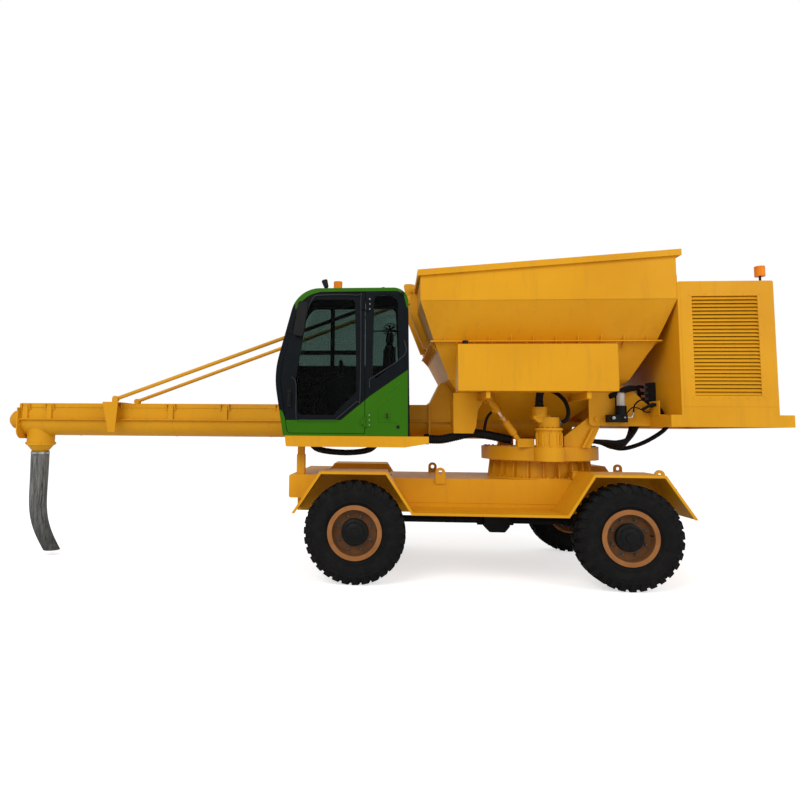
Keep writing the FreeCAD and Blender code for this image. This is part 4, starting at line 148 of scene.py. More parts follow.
def paint(name, colour, dark, roughness=0.38, peel=0.06, dirt=0.35):
    """Sprayed enamel: slow shade drift, vertical streaks of dust, and orange peel."""
    m = Mat(name)
    drift = m.noise(1.1, 3, 0.5)
    fine = m.noise(9, 5, 0.65)
    shade = m.mix(m.ramp(drift, (0.35, 0.0), (0.75, 1.0)), colour, dark)
    streaks = m.noise(3.2, 6, 0.7, stretch=(3.0, 3.0, 0.35))
    soiled = tuple(c * 0.55 + 0.02 for c in colour)
    shade = m.mix(m.math("MULTIPLY", m.ramp(streaks, (0.52, 0.0), (0.78, 1.0)), dirt), shade, soiled)
    m.set(Base_Color=shade, Metallic=0.0)
    m.set(Roughness=m.ramp(fine, (0.3, roughness - 0.06), (0.7, roughness + 0.1)))
    m.set(Specular_IOR_Level=0.16)
    m.bump(m.noise(260, 2, 0.5), peel, 0.002)
    m.bump(m.noise(2.4, 2, 0.5), 0.08, 0.01)
    return m.material


YELLOW = (0.74, 0.345, 0.010)
YELLOW_DARK = (0.66, 0.290, 0.006)
GREEN = (0.033, 0.142, 0.003)
GREEN_DARK = (0.027, 0.118, 0.002)
CAB_BLACK = (0.0040, 0.0058, 0.0075)

yellow = paint("yellow enamel", YELLOW, YELLOW_DARK)
green = paint("green enamel", GREEN, GREEN_DARK, roughness=0.34, dirt=0.15)


def two_tone():
    """The cab: black above a line that climbs to the rear, green under it and along the roof's edge."""
    m = Mat("two tone cab enamel")
    low, high = node_box("cab_shell")

    def height_line(points):
        """Height over X, through (x, z) points, as a ramp."""
        span, tall = high.x - low.x, 4.0
        ramp = m.ramp(m.math("DIVIDE", m.math("SUBTRACT", m.axis("X"), low.x), span),
                      *(((x - low.x) / span, z / tall) for x, z in points))
        return m.math("MULTIPLY", ramp, tall)

    waist = height_line([(low.x, 1.93), (-0.80, 1.90), (-0.755, 1.794), (-0.129, 1.798), (0.196, 2.070),
                         (0.615, 2.363), (high.x, 2.38)])
    roof = height_line([(low.x, 3.9), (-0.70, 3.9), (-0.665, 3.05), (-0.60, 3.15), (-0.50, 3.225),
                        (-0.38, 3.264),
                        (0.50, 3.268), (0.57, 3.235), (0.600, 3.12), (0.606, 3.08), (high.x, 3.06)])
    below = m.math("LESS_THAN", m.axis("Z"), waist)
    above = m.math("GREATER_THAN", m.axis("Z"), roof)
    forward = m.math("LESS_THAN", m.axis("X"), high.x - 0.022)
    is_green = m.math("MULTIPLY", m.math("MAXIMUM", below, above), m.math("MAXIMUM", forward, above))
    drift = m.ramp(m.noise(1.3, 3, 0.5), (0.35, 0.0), (0.75, 1.0))
    dust = m.ramp(m.noise(14, 6, 0.7), (0.5, 0.0), (0.85, 0.12))
    shade = m.mix(is_green, m.mix(dust, CAB_BLACK, (0.03, 0.03, 0.032)), m.mix(drift, GREEN, GREEN_DARK))
    m.set(Base_Color=shade, Metallic=0.0, Specular_IOR_Level=0.09)
    m.set(Roughness=m.ramp(m.noise(9, 5, 0.65), (0.3, 0.28), (0.7, 0.42)))
    m.bump(m.noise(260, 2, 0.5), 0.05, 0.002)
    return m.material


cab_paint = two_tone()

MATERIALS = {"yellow_paint": yellow, "green_paint": cab_paint}


def plain(name, colour, roughness, metallic=0.0, bump_scale=120, bump=0.1):
    m = Mat(name)
    patch = m.noise(6, 5, 0.65)
    m.set(Base_Color=m.mix(m.ramp(patch, (0.3, 0.0), (0.7, 1.0)), colour, tuple(c * 0.7 for c in colour)),
          Roughness=m.ramp(patch, (0.3, max(roughness - 0.08, 0.03)), (0.7, roughness + 0.08)),
          Metallic=metallic, Specular_IOR_Level=0.5 if metallic > 0.5 else 0.12)
    m.bump(m.noise(bump_scale, 3, 0.6), bump, 0.002)
    return m.material


rim_paint = plain("rim enamel", (0.36, 0.145, 0.045), 0.5)
dark_iron = plain("dark iron", (0.018, 0.018, 0.019), 0.6, 0.2, 60, 0.3)
chrome = plain("ram chrome", (0.78, 0.78, 0.8), 0.12, 1.0, 30, 0.02)
steel = plain("worn steel", (0.35, 0.33, 0.3), 0.4, 1.0, 80, 0.1)
# The wheel disc: the rim's brown darkened as painted shade of the dished recess inside the flange.
disc_painted_shade = plain("wheel disc painted shade", (0.17, 0.075, 0.028), 0.5)
steel_bright = plain("zinc plate", (0.62, 0.62, 0.60), 0.32, 1.0, 90, 0.05)
steel_dark = plain("oiled steel", (0.16, 0.15, 0.14), 0.45, 0.9, 90, 0.1)
hub_iron = plain("black enamel", (0.009, 0.009, 0.009), 0.5, 0.0, 110, 0.15)
# Window seal rubber: real rubber, with its grey lightened to give a painted highlight along the seal.
seal_rubber_and_highlight = plain("seal rubber and painted highlight", (0.045, 0.048, 0.052), 0.6, 0.0, 120, 0.15)
hose_black = plain("black hose", (0.009, 0.009, 0.0095), 0.5, 0.0, 160, 0.2)
lining = plain("cab lining", (0.012, 0.013, 0.013), 0.8, 0.0, 240, 0.25)


def rubber():
    """Tyre rubber: dusty in the grooves, with the fine rings of the sidewall."""
    m = Mat("tyre rubber")
    dust = m.ramp(m.noise(7, 6, 0.7), (0.48, 0.0), (0.8, 0.5))
    m.set(Base_Color=m.mix(dust, (0.0075, 0.0075, 0.0075), (0.026, 0.023, 0.019)), Specular_IOR_Level=0.10)
    m.set(Roughness=m.ramp(m.noise(12, 4, 0.6), (0.3, 0.68), (0.7, 0.88)))
    m.bump(m.noise(160, 3, 0.6), 0.25, 0.002)
    m.bump(m.noise(20, 3, 0.6), 0.15, 0.006)
    return m.material


def wrapped_hose():
    """Cloth-wrapped delivery hose: chalky grey streaks down its length, darker towards the foot."""
    m = Mat("wrapped hose")
    streaks = m.noise(16, 6, 0.7, stretch=(2.4, 2.4, 0.25))
    foot = m.math("DIVIDE", m.axis("Z"), 1.3)
    chalk = m.math("MULTIPLY", m.ramp(streaks, (0.34, 0.1), (0.66, 1.0)),
                   m.ramp(foot, (0.15, 0.35), (0.62, 1.0)))
    m.set(Base_Color=m.mix(chalk, (0.022, 0.023, 0.024), (0.26, 0.26, 0.245)), Specular_IOR_Level=0.12)
    m.set(Roughness=m.ramp(streaks, (0.3, 0.6), (0.7, 0.85)))
    wraps = m.node("ShaderNodeTexWave", Vector=m.place, Scale=34.0, Distortion=0.4)
    wraps.bands_direction = "Z"
    m.bump(wraps.outputs["Fac"], 0.25, 0.003)
    m.bump(m.noise(200, 3, 0.6), 0.2, 0.001)
    return m.material


tyre_rubber = rubber()
hose_rubber = wrapped_hose()
seat_cloth = plain("seat cloth", (0.02, 0.02, 0.024), 0.85, 0.0, 500, 0.3)
plastic = plain("black plastic", (0.012, 0.012, 0.013), 0.45, 0.0, 300, 0.1)
clear = plain("milky plastic", (0.72, 0.72, 0.68), 0.25, 0.0, 60, 0.05)
amber = plain("amber lens", (0.95, 0.26, 0.012), 0.18, 0.0, 40, 0.05)
red_lens = plain("red lens", (0.45, 0.012, 0.010), 0.18, 0.0, 60, 0.05)


def glazing():
    m = Mat("cab glass")
    smears = m.noise(5, 5, 0.6)
    m.set(Base_Color=m.mix(m.ramp(smears, (0.3, 0.0), (0.8, 1.0)), (0.19, 0.26, 0.24), (0.22, 0.29, 0.26)),
          IOR=1.15, Transmission_Weight=1.0)
    m.set(Roughness=m.ramp(smears, (0.3, 0.0), (0.7, 0.008)))
    return m.material


glass = glazing()
MATERIALS.update({"rim_paint": rim_paint, "dark_iron": dark_iron, "ram_chrome": chrome,
                  "bare_steel": steel, "tyre": tyre_rubber, "hose_rubber": hose_rubber,
                  "cab_glass": glass, "seat_fabric": seat_cloth, "black_plastic": plastic,
                  "clear_plastic": clear, "amber_plastic": amber})

for part in frame["record"]["subparts"]:
    thing = NODES[part["node"]]
    thing.data.materials.clear()
    thing.data.materials.append(MATERIALS[part["material_slot"]])


# ---- meshes ----------------------------------------------------------------------------------------

def basis(axis):
    """Two unit vectors square to the axis and to each other."""
    axis = Vector(axis).normalized()
    helper = Vector((0, 0, 1)) if abs(axis.z) < 0.9 else Vector((1, 0, 0))
    first = axis.cross(helper).normalized()
    return axis, first, axis.cross(first)


def smooth_path(points, steps=8):
    """A curve through the points, each stretch cut into steps."""
    points = [Vector(p) for p in points]
    ends = [2 * points[0] - points[1]] + points + [2 * points[-1] - points[-2]]
    path = []
    for a, b, c, d in zip(ends, ends[1:], ends[2:], ends[3:]):
        for k in range(steps):
            t = k / steps
            path.append(0.5 * (2 * b + (c - a) * t + (2 * a - 5 * b + 4 * c - d) * t * t
                               + (3 * b - a - 3 * c + d) * t ** 3))
    return path + [points[-1]]


class Piece:
    def __init__(self):
        self.bm = bmesh.new()

    def loft(self, rings, close=False):
        made = [[self.bm.verts.new(p) for p in ring] for ring in rings]
        count = len(made[0])
        pairs = list(zip(made, made[1:]))
        if close:
            pairs.append((made[-1], made[0]))
        else:
            self.bm.faces.new(made[0][::-1])
            self.bm.faces.new(made[-1])
        for near, far in pairs:
            for i in range(count):
                k = (i + 1) % count
                self.bm.faces.new((near[i], near[k], far[k], far[i]))
        return self

    def box(self, low, high):
        (x0, y0, z0), (x1, y1, z1) = low, high
        corners = ((x0, y0), (x1, y0), (x1, y1), (x0, y1))
        return self.loft([[(x, y, z) for x, y in corners] for z in (z0, z1)])

    def slab(self, outline, low, high, axis="Y"):
        """The outline between two planes square to the axis; it is (x, z), (x, y) or (y, z)."""
        place = {"Y": lambda u, v, w: (u, w, v), "Z": lambda u, v, w: (u, v, w), "X": lambda u, v,
                 w: (w, u, v)}
        return self.loft([[place[axis](u, v, w) for u, v in outline] for w in (low, high)])

    def turned(self, profile, place, axis=(0, 0, 1), steps=24, close=False, start=0.0):
        """Profile points are (radius, along the axis)."""
        axis, first, second = basis(axis)
        place = Vector(place)
        rings = []
        for radius, along in profile:
            centre = place + axis * along
            turns = (start + 2 * math.pi * k / steps for k in range(steps))
            rings.append([centre + (first * math.cos(a) + second * math.sin(a)) * max(radius, 1e-4)
                          for a in turns])
        return self.loft(rings, close)

    def bolt(self, place, axis, size):
        """A hexagon head on its washer; size is half across the corners."""
        self.turned([(size * 1.25, 0), (size * 1.25, size * 0.2)], place, axis, 12)
        return self.turned([(size, size * 0.2), (size, size * 0.85), (size * 0.8, size * 1.05)],
                           place, axis, 6)

    def bolts(self, places, axis, size):
        for place in places:
            self.bolt(place, axis, size)
        return self

    def seam(self, points, radius):
        """A straight-edged bead through the points."""
        return self.tube(points, radius, 8, 0)

    def tube(self, points, radius, steps=14, smooth=8, ripple=0.0, pitch=0.03):
        """A round tube through the points; ripple is the depth of its ribs, one every pitch."""
        path = smooth_path(points, smooth) if smooth else [Vector(p) for p in points]
        if ripple:
            path = even_path(path, pitch / 4)
        rings = []
        _, first, second = basis(path[1] - path[0])
        for i, point in enumerate(path):
            ahead = (path[min(i + 1, len(path) - 1)] - path[max(i - 1, 0)]).normalized()
            first = (first - ahead * first.dot(ahead)).normalized()
            second = ahead.cross(first)
            reach = radius - (ripple if i % 4 in (2, 3) else 0)
            rings.append([point + (first * math.cos(a) + second * math.sin(a)) * reach
                          for a in (2 * math.pi * k / steps for k in range(steps))])
        return self.loft(rings)

    def finish(self, name, material, body="superstructure", bevel=0.0, sharp=35):
        """The object, in its material, on its body; with no body it rides on none."""
        bmesh.ops.recalc_face_normals(self.bm, faces=self.bm.faces)
        mesh = bpy.data.meshes.new(name)
        self.bm.to_mesh(mesh)
        self.bm.free()
        mesh.shade_smooth()
        mesh.set_sharp_from_angle(angle=math.radians(sharp))
        mesh.materials.append(material)
        made = bpy.data.objects.new(name, mesh)
        bpy.context.collection.objects.link(made)
        if bevel:
            modifier = made.modifiers.new("bevel", "BEVEL")
            modifier.width = bevel
            modifier.segments = 2
            modifier.limit_method = "ANGLE"
            modifier.angle_limit = math.radians(40)
            modifier.harden_normals = True
        if body:
            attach(made, body)
        return made


def even_path(path, step):
    """The same path cut into equal steps."""
    lengths = [0.0]
    for a, b in zip(path, path[1:]):
        lengths.append(lengths[-1] + (b - a).length)
    count = max(2, round(lengths[-1] / step))
    even, i = [], 0
    for k in range(count + 1):
        want = lengths[-1] * k / count
        while i < len(path) - 2 and lengths[i + 1] < want:
            i += 1
        share = (want - lengths[i]) / max(lengths[i + 1] - lengths[i], 1e-9)
        even.append(path[i].lerp(path[i + 1], share))
    return even


def circle_points(place, axis, radius, count, start=0.0):
    axis, first, second = basis(axis)
    place = Vector(place)
    return [place + (first * math.cos(a) + second * math.sin(a)) * radius
            for a in (start + 2 * math.pi * k / count for k in range(count))]


def repaint(node, material, choose):
    """Another material on the faces of a CAD node that choose(face) picks."""
    data = NODES[node].data
    data.materials.append(material)
    index = len(data.materials) - 1
    for polygon in data.polygons:
        if choose(polygon):
            polygon.material_index = index


LOW_SLEW, HIGH_SLEW = node_box("slew_pedestal")
SLEW_X = (LOW_SLEW.x + HIGH_SLEW.x) / 2


def ahead(distance):
    """X at a distance towards the boom's tip from the slewing axis."""
    return SLEW_X - distance


# ---- wheels ----------------------------------------------------------------------------------------

LUG_COUNT = 31
LUG_DEPTH = 0.021


def tyre_lug(piece, centre, radius, half, side, angle):
    """A shoulder lug: from the middle of the tread over the shoulder and down the sidewall."""
    rows = ((0.012, radius - 0.001, 0.30), (0.070, radius - 0.001, 0.34),
            (half - 0.046, radius - 0.001, 0.30),
            (half - 0.026, radius - 0.009, 0.29), (half - 0.010, radius - 0.040, 0.27),
            (half - 0.002, radius - 0.078, 0.2))
    pitch = 2 * math.pi / LUG_COUNT
    rings = []
    for i, (out, reach, share) in enumerate(rows):
        lean = -0.28 * pitch * (1 - out / half)
        deep = reach - LUG_DEPTH - 0.004
        y = centre.y + side * out
        inward = centre.y + side * (out - (0.016 if i > 3 else 0))
        ring = []
        for turn, r, at in ((-share, reach, y), (share, reach, y), (share * 1.15, deep, inward),
                            (-share * 1.15, deep, inward)):
            a = angle + lean + turn * pitch
            ring.append((centre.x + r * math.sin(a), at, centre.z + r * math.cos(a)))
        rings.append(ring)
    piece.loft(rings)


def tyre(end, side_name):
    node = f"{end}_{side_name}_tyre"
    low, high = node_box(node)
    centre = (low + high) / 2
    radius = (high.x - low.x) / 2
    centre.z = low.z + radius
    half = (high.y - low.y) / 2
    base = radius - LUG_DEPTH
    side_profile = [(base, half - 0.062), (base - 0.006, half - 0.036), (base - 0.03, half - 0.018),
                    (0.478, half - 0.008), (0.472, half - 0.003), (0.464, half - 0.003),
                    (0.458, half - 0.006),
                    (0.436, half), (0.395, half - 0.004), (0.352, half - 0.016), (0.346, half - 0.012),
                    (0.338, half - 0.012), (0.332, half - 0.021), (0.306, half - 0.036),
                    (0.287, half - 0.036)]
    profile = [(r, w) for r, w in side_profile]
    profile += [(r, -w) for r, w in reversed(side_profile)]
    piece = Piece()
    piece.turned(profile, centre, (0, 1, 0), 96, close=True)
    for k in range(LUG_COUNT):
        for side in SIDES:
            step = 0.5 if side == LEFT else 0.0
            tyre_lug(piece, centre, radius, half, side, 2 * math.pi * (k + step) / LUG_COUNT)
    made = piece.finish(f"treaded_{node}", tyre_rubber, f"{end}_{side_name}_wheel", sharp=28)
    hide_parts(node)
    return centre


def wheel_fittings(end, side_name, centre):
    """Nuts on the disc, a valve, and the hub's cap with its screws."""
    node = f"{end}_{side_name}_rim"
    body = f"{end}_{side_name}_wheel"
    low, high = node_box(node)
    out = LEFT if side_name == "left" else RIGHT
    axis = (0, out, 0)
    disc = (low.y if out == LEFT else high.y) - out * 0.095
    hub_radius, disc_radius = 0.1465, 0.262

    def reach(face):
        return math.hypot(face.center.x - centre.x, face.center.z - centre.z)

    def on_hub(face):
        return reach(face) < hub_radius + 0.003 and (face.center.y - centre.y) * out > 0.02

    # Faces inside the disc radius take the darker brown, painted shade of the dished recess.
    repaint(node, disc_painted_shade, lambda face: reach(face) < disc_radius)
    repaint(node, hub_iron, on_hub)
    nuts = Piece()
    for place in circle_points((centre.x, disc, centre.z), axis, 0.19, 8, math.radians(22.5)):
        nuts.bolt(place, axis, 0.0165)
        nuts.turned([(0.010, 0.01), (0.010, 0.034), (0.008, 0.037)], place, axis, 10)
    nuts.finish(f"{end}_{side_name}_wheel_nuts", steel_dark, body)
    cap = Piece()
    cap_face = disc + out * 0.0705
    cap.turned([(0.098, 0), (0.098, 0.006), (0.09, 0.011), (0.052, 0.014), (0.05, 0.024), (0.02, 0.026)],
               (centre.x, cap_face, centre.z), axis, 32)
    cap.bolts(circle_points((centre.x, cap_face, centre.z), axis, 0.115, 8), axis, 0.009)
    cap.turned([(0.143, -0.02), (0.1475, -0.018), (0.1475, -0.008), (0.143, -0.006)],
               (centre.x, disc + out * 0.035, centre.z), axis, 40)
    cap.finish(f"{end}_{side_name}_hub_cap", hub_iron, body)
    valve = Piece()
    top = (centre.x + 0.232, disc + out * 0.004, centre.z + 0.02)
    valve.tube([top, (top[0] + 0.006, top[1] + out * 0.03, top[2] + 0.001),
                (top[0] + 0.016, top[1] + out * 0.062, top[2] + 0.004)], 0.0055, 10)
    valve.finish(f"{end}_{side_name}_valve", hub_iron, body)


def wheels():
    for end in ("front", "rear"):
        for side_name in ("left", "right"):
            wheel_fittings(end, side_name, tyre(end, side_name))


# ---- chassis and turntable -------------------------------------------------------------------------

GEARBOX_AHEAD, MOTOR_AHEAD, GEARBOX_Y = 0.045, 0.149, -0.722


def chassis_fittings():
    low, high = node_box("slew_pedestal")
    flange, bolts = 0.016, Piece()
    bolts.bolts(circle_points((SLEW_X, 0, high.z - flange), DOWN, 0.596, 44, math.radians(4.1)),
                DOWN, 0.014)
    bolts.bolts(circle_points((SLEW_X, 0, low.z + flange), UP, 0.622, 44, math.radians(4.1)), UP, 0.014)
    bolts.finish("pedestal_bolts", yellow, "chassis")
    box = Piece()
    box.box((SLEW_X + 0.235, -0.655, low.z + 0.016), (SLEW_X + 0.305, -0.540, low.z + 0.092))
    box.box((SLEW_X + 0.228, -0.662, low.z + 0.092), (SLEW_X + 0.312, -0.535, low.z + 0.104))
    box.finish("pedestal_grease_box", yellow, "chassis", bevel=0.004)

    bolts = Piece()
    band_top = node_box("fender_bands")[1].z
    slope, corner = 1.525, 0.3895
    for side in SIDES:
        for x in (0.404, 0.430):
            for y in (0.70, 0.76):
                bolts.bolt((x, side * y, band_top - slope * (x - corner)), (slope, 0, 1), 0.010)
    bolts.finish("fender_bolts", steel, "chassis")
    seam = Piece()
    frame_low, frame_high = node_box("chassis_frame")
    for side in SIDES:
        y = side * 0.651
        seam.seam([(frame_low.x + 0.55, y, 0.842), (frame_high.x - 0.55, y, 0.842)], 0.004)
    seam.finish("web_welds", yellow, "chassis")
    lamps = Piece()
    glow = Piece()
    for side in SIDES:
        y = side * 0.80
        lamps.box((frame_high.x - 0.012, y - 0.09, 0.96), (frame_high.x + 0.018, y + 0.09, 1.06))
        glow.box((frame_high.x + 0.012, y - 0.078, 0.972), (frame_high.x + 0.028, y + 0.002, 1.048))
        glow.box((frame_high.x + 0.012, y + 0.012, 0.972), (frame_high.x + 0.028, y + 0.078, 1.048))
    lamps.finish("tail_lamp_housings", plastic, "chassis", bevel=0.006)
    glow.finish("tail_lamp_lenses", red_lens, "chassis", bevel=0.006)


def drive_fittings():
    """Bolts and ribs of the slewing gearbox, and the bolts of the turntable."""
    x, y = SLEW_X - GEARBOX_AHEAD, GEARBOX_Y
    ribs = Piece()
    for k in range(10):
        a = 2 * math.pi * k / 10 + 0.2
        centre = Vector((x + 0.143 * math.cos(a), y + 0.143 * math.sin(a), 1.512))
        ribs.turned([(0.011, 0), (0.011, 0.150), (0.005, 0.165)], centre, UP, 10)
    ribs.finish("gearbox_ribs", yellow, "turntable")
    bolts = Piece()
    bolts.bolts(circle_points((x, y, 1.729), UP, 0.136, 14, 0.1), UP, 0.010)
    bolts.bolts(circle_points((x, y, 1.853), UP, 0.10, 10, 0.3), UP, 0.009)
    bolts.finish("gearbox_bolts", steel_dark, "turntable")
    motor = Piece()
    motor_x = SLEW_X - MOTOR_AHEAD
    motor.turned([(0.052, -0.004), (0.052, 0.022), (0.046, 0.03), (0.046, 0.06), (0.052, 0.066)],
                 (motor_x, y, node_box("slew_drive")[1].z), UP, 28)
    motor.finish("motor_coupling", plastic, "turntable")
    band = Piece()
    for height in (1.90, 1.945):
        band.turned([(0.0885, -0.004), (0.0915, -0.003), (0.0915, 0.003), (0.0885, 0.004)],
                    (motor_x, y, height), UP, 36)
    band.finish("motor_bands", yellow, "turntable")
    cover = Piece()
    for place in circle_points((SLEW_X, 0, 1.507), UP, 0.672, 40, 0.05):
        if abs(place.y) < 0.60 and not (abs(place.x - x) < 0.2 and place.y < -0.5):
            cover.bolt(place, UP, 0.012)
    cover.finish("turntable_bolts", yellow, "turntable")
    pins = Piece()
    for side in SIDES:
        for px, pz, r in ((SLEW_X + 0.526, 1.837, 0.046), (SLEW_X - 0.354, 1.559, 0.034)):
            pins.turned([(r, -0.004), (r, 0.006), (r - 0.006, 0.010), (0.012, 0.010), (0.012, 0.006),
                         (0.001, 0.006)],
                        (px, side * (0.626 if pz > 1.7 else 0.668), pz), (0, side, 0), 28)
    pins.finish("pin_plates", yellow, "turntable")


# ---- boom ------------------------------------------------------------------------------------------

def boom_fittings():
    low, high = node_box("boom_trough")
    axis_z = 1.799
    bolts = Piece()
    reach, inset = 0.248, 0.016
    for end, inward in ((low.x, 1), (high.x, -1)):
        for k in range(14):
            a = math.pi * (1.02 + 0.96 * k / 13)
            place = (end + inward * inset, reach * math.cos(a), axis_z + reach * math.sin(a) * 0.99)
            bolts.bolt(place, (inward, 0, 0), 0.011)
    for k in range(26):
        x = low.x + 0.13 + k * (high.x - low.x - 0.3) / 25
        for side in SIDES:
            bolts.bolt((x, side * 0.232, axis_z + 0.0125), UP, 0.008)
    motor_flange = node_box("screw_motor")[1].x - 0.016
    bolts.bolts(circle_points((motor_flange, 0, axis_z), (-1, 0, 0), 0.118, 8, 0.3), (-1, 0, 0), 0.011)
    bolts.finish("boom_bolts", yellow)

    clamps = Piece()
    for distance in [1.880 + 0.720 * k for k in range(6)] + [6.410, 6.740]:
        x = SLEW_X - distance
        if not low.x < x < high.x:
            continue
        for side in SIDES:
            pair = [(x + dx, side * 0.236) for dx in (-0.055, 0.055)]
            for place in pair:
                clamps.turned([(0.009, 0), (0.009, 0.060)], (*place, 1.955), UP, 10)
            clamps.bolts([(*place, 2.0) for place in pair], UP, 0.013)
    clamps.finish("lid_clamp_bolts", yellow)

    welds = Piece()
    skin = 0.2075
    for x in (-3.75, -2.42, -1.15, 0.1):
        for side in SIDES:
            arc = [(x, side * skin * math.cos(a), axis_z - skin * math.sin(a))
                   for a in (math.pi / 2 * k / 8 for k in range(9))]
            welds.tube(arc, 0.004, 8, 2)
    for side in SIDES:
        welds.seam([(low.x + 0.02, side * 0.209, axis_z - 0.003),
                    (high.x - 0.02, side * 0.209, axis_z - 0.003)], 0.005)
    welds.finish("boom_welds", yellow)

    x = SLEW_X - 6.636
    band = Piece()
    band.turned([(0.1155, -0.014), (0.1185, -0.014), (0.1185, 0.014), (0.1155, 0.014)], (x, 0, 1.352),
                UP, 48, close=True)
    band.box((x - 0.02, -0.138, 1.340), (x + 0.02, -0.114, 1.364))
    band.turned([(0.006, 0), (0.006, 0.075)], (x - 0.037, -0.128, 1.352), (1, 0, 0), 10)
    band.bolt((x + 0.036, -0.128, 1.352), (1, 0, 0), 0.010)
    band.finish("hose_band", steel_bright)
    ring = Piece()
    ring.turned([(0.176, 0.0), (0.182, 0.003), (0.182, 0.016), (0.176, 0.019)], (x, 0, 1.475), UP, 48)
    for place in circle_points((x, 0, 1.484), UP, 0.180, 4, 0.5):
        ring.turned([(0.012, -0.01), (0.012, 0.014)], place, UP, 12)
    ring.finish("spout_ring", yellow)

    stay_head = node_box("stay_rods")[1].x - 0.036
    caps = Piece()
    for side in SIDES:
        for inner, outer in ((-0.056, -0.050), (0.050, 0.056)):
            caps.turned([(0.020, inner), (0.020, outer)], (stay_head, side * 0.320, 3.462),
                        (0, side, 0), 18)
    caps.finish("stay_head_pins", yellow)


# ---- hopper and tanks ------------------------------------------------------------------------------

HALF_WIDTH = 1.2


def hopper_fittings():
    ledge = 2.714
    front, rear, half = SLEW_X - 1.385, SLEW_X + 1.113, 0.95
    fins = Piece()
    count = 10
    for k in range(count):
        x = front + 0.12 + k * (rear - front - 0.24) / (count - 1)
        for side in SIDES:
            upper = ((-0.004, 0.006), (0.045, 0.006), (0.045, 0.084))
            lower = ((-0.006, -0.007), (0.045, -0.007), (-0.035, -0.09))
            for outline in (upper,) if k in (0, count - 1) else (upper, lower):
                fins.slab([(side * (half + out), ledge + up) for out, up in outline], x - 0.004,
                          x + 0.004, "X")
    ends = ((front, (0.006, -0.007), (-0.044, -0.007), (0.044, -0.11)),
            (rear, (-0.006, -0.007), (0.044, -0.007), (-0.035, -0.10)))
    for k in range(9):
        y = -0.84 + 0.21 * k
        for x, *outline in ends:
            fins.slab([(x + out, ledge + up) for out, up in outline], y - 0.005, y + 0.005)
    fins.finish("ledge_gussets", yellow)
    bolts = Piece()
    places = [(front + 0.055 + k * (rear - front - 0.11) / 12, side * (half + 0.026))
              for k in range(13) for side in SIDES]
    places += [(x, -0.88 + k * 1.76 / 9) for k in range(10) for x in (front - 0.026, rear + 0.026)]
    for x, y in places:
        for way in (-1, 1):
            bolts.bolt((x, y, ledge + way * 0.007), (0, 0, way), 0.010)
    bolts.finish("ledge_bolts", yellow)
    welds = Piece()
    fold = 3.157
    for side in SIDES:
        y = side * HALF_WIDTH
        welds.seam([(SLEW_X - 1.553, y, fold), (SLEW_X + 1.244, y, fold)], 0.0035)
        for end, bottom in ((SLEW_X - 1.555, front), (SLEW_X + 1.246, rear)):
            welds.seam([(bottom, side * half, ledge + 0.01), (end, y, fold), (end, y, 3.42)], 0.0045)
    welds.finish("hopper_welds", yellow)
    for node in ("fuel_tank", "hydraulic_tank"):
        low, high = node_box(node)
        top = 2.648
        repaint(node, plastic, lambda face: face.center.z > top)
        straps = Piece()
        straps.box((high.x - 0.002, low.y + 0.03, low.z + 0.02), (high.x + 0.02, low.y + 0.06, top - 0.09))
        straps.finish(f"{node}_end_angle", yellow, bevel=0.003)
        weld = Piece()
        out = low.y if abs(low.y) > abs(high.y) else high.y
        corners = [(low.x, low.z), (high.x, low.z), (high.x, top), (low.x, top)]
        for (x0, z0), (x1, z1) in zip(corners, corners[1:] + corners[:1]):
            weld.seam([(x0, out * 0.9985, z0), (x1, out * 0.9985, z1)], 0.003)
        weld.finish(f"{node}_welds", yellow)


# ---- engine housing --------------------------------------------------------------------------------

def housing_fittings():
    low, high = node_box("engine_housing")
    frame_low, frame_high = node_box("louvre_panels")
    screws = Piece()
    inset = 0.022
    places = [(x, frame_low.z + 0.03 + k * (frame_high.z - frame_low.z - 0.06) / 5)
              for k in range(6) for x in (frame_low.x + inset, frame_high.x - inset)]
    places += [(frame_low.x + k * (frame_high.x - frame_low.x) / 4, z)
               for k in range(1, 4) for z in (frame_low.z + inset, frame_high.z - inset)]
    for side in SIDES:
        for x, z in places:
            screws.turned([(0.008, -0.001), (0.008, 0.002), (0.005, 0.004)],
                          (x, side * HALF_WIDTH, z), (0, side, 0), 12)
    screws.finish("louvre_screws", yellow)
    seams = Piece()
    doors = Piece()
    x = high.x
    for y0, y1 in ((-1.08, -0.02), (0.02, 1.08)):
        doors.box((x - 0.004, y0, low.z + 0.12), (x + 0.004, y1, high.z - 0.12))
    doors.finish("rear_doors", yellow, bevel=0.003)
    handles = Piece()
    for y in (-0.09, 0.09):
        handles.box((x + 0.004, y - 0.035, 2.52), (x + 0.010, y + 0.035, 2.68))
        handles.box((x + 0.010, y - 0.012, 2.54), (x + 0.022, y + 0.012, 2.66))
    handles.finish("rear_door_latches", plastic, bevel=0.003)
    hinges = Piece()
    for y in (-1.09, 1.09):
        for z in (2.15, 2.62, 3.09):
            hinges.turned([(0.011, 0), (0.011, 0.10)], (x + 0.005, y, z - 0.05), UP, 14)
    hinges.finish("rear_door_hinges", yellow)
    for side in SIDES:
        y, z = side * HALF_WIDTH, low.z + 0.09
        seams.seam([(low.x + 0.02, y, z), (high.x - 0.02, y, z)], 0.003)
        seams.seam([(low.x + 0.03, y * 0.9995, z), (low.x + 0.03, y * 0.9995, high.z - 0.03)], 0.003)
    seams.finish("housing_seams", yellow)
    pipe = Piece()
    pipe.turned([(0.055, -0.005), (0.055, 0.03), (0.045, 0.034), (0.045, 0.10), (0.05, 0.102), (0.05, 0.11),
                 (0.001, 0.108)], (high.x - 0.35, 0.55, high.z), UP, 28)
    pipe.finish("exhaust_stub", hub_iron)
    repaint("beacons", plastic, lambda face: face.center.z < (3.366 if face.center.x < 2 else 3.406))


# ---- cab -------------------------------------------------------------------------------------------

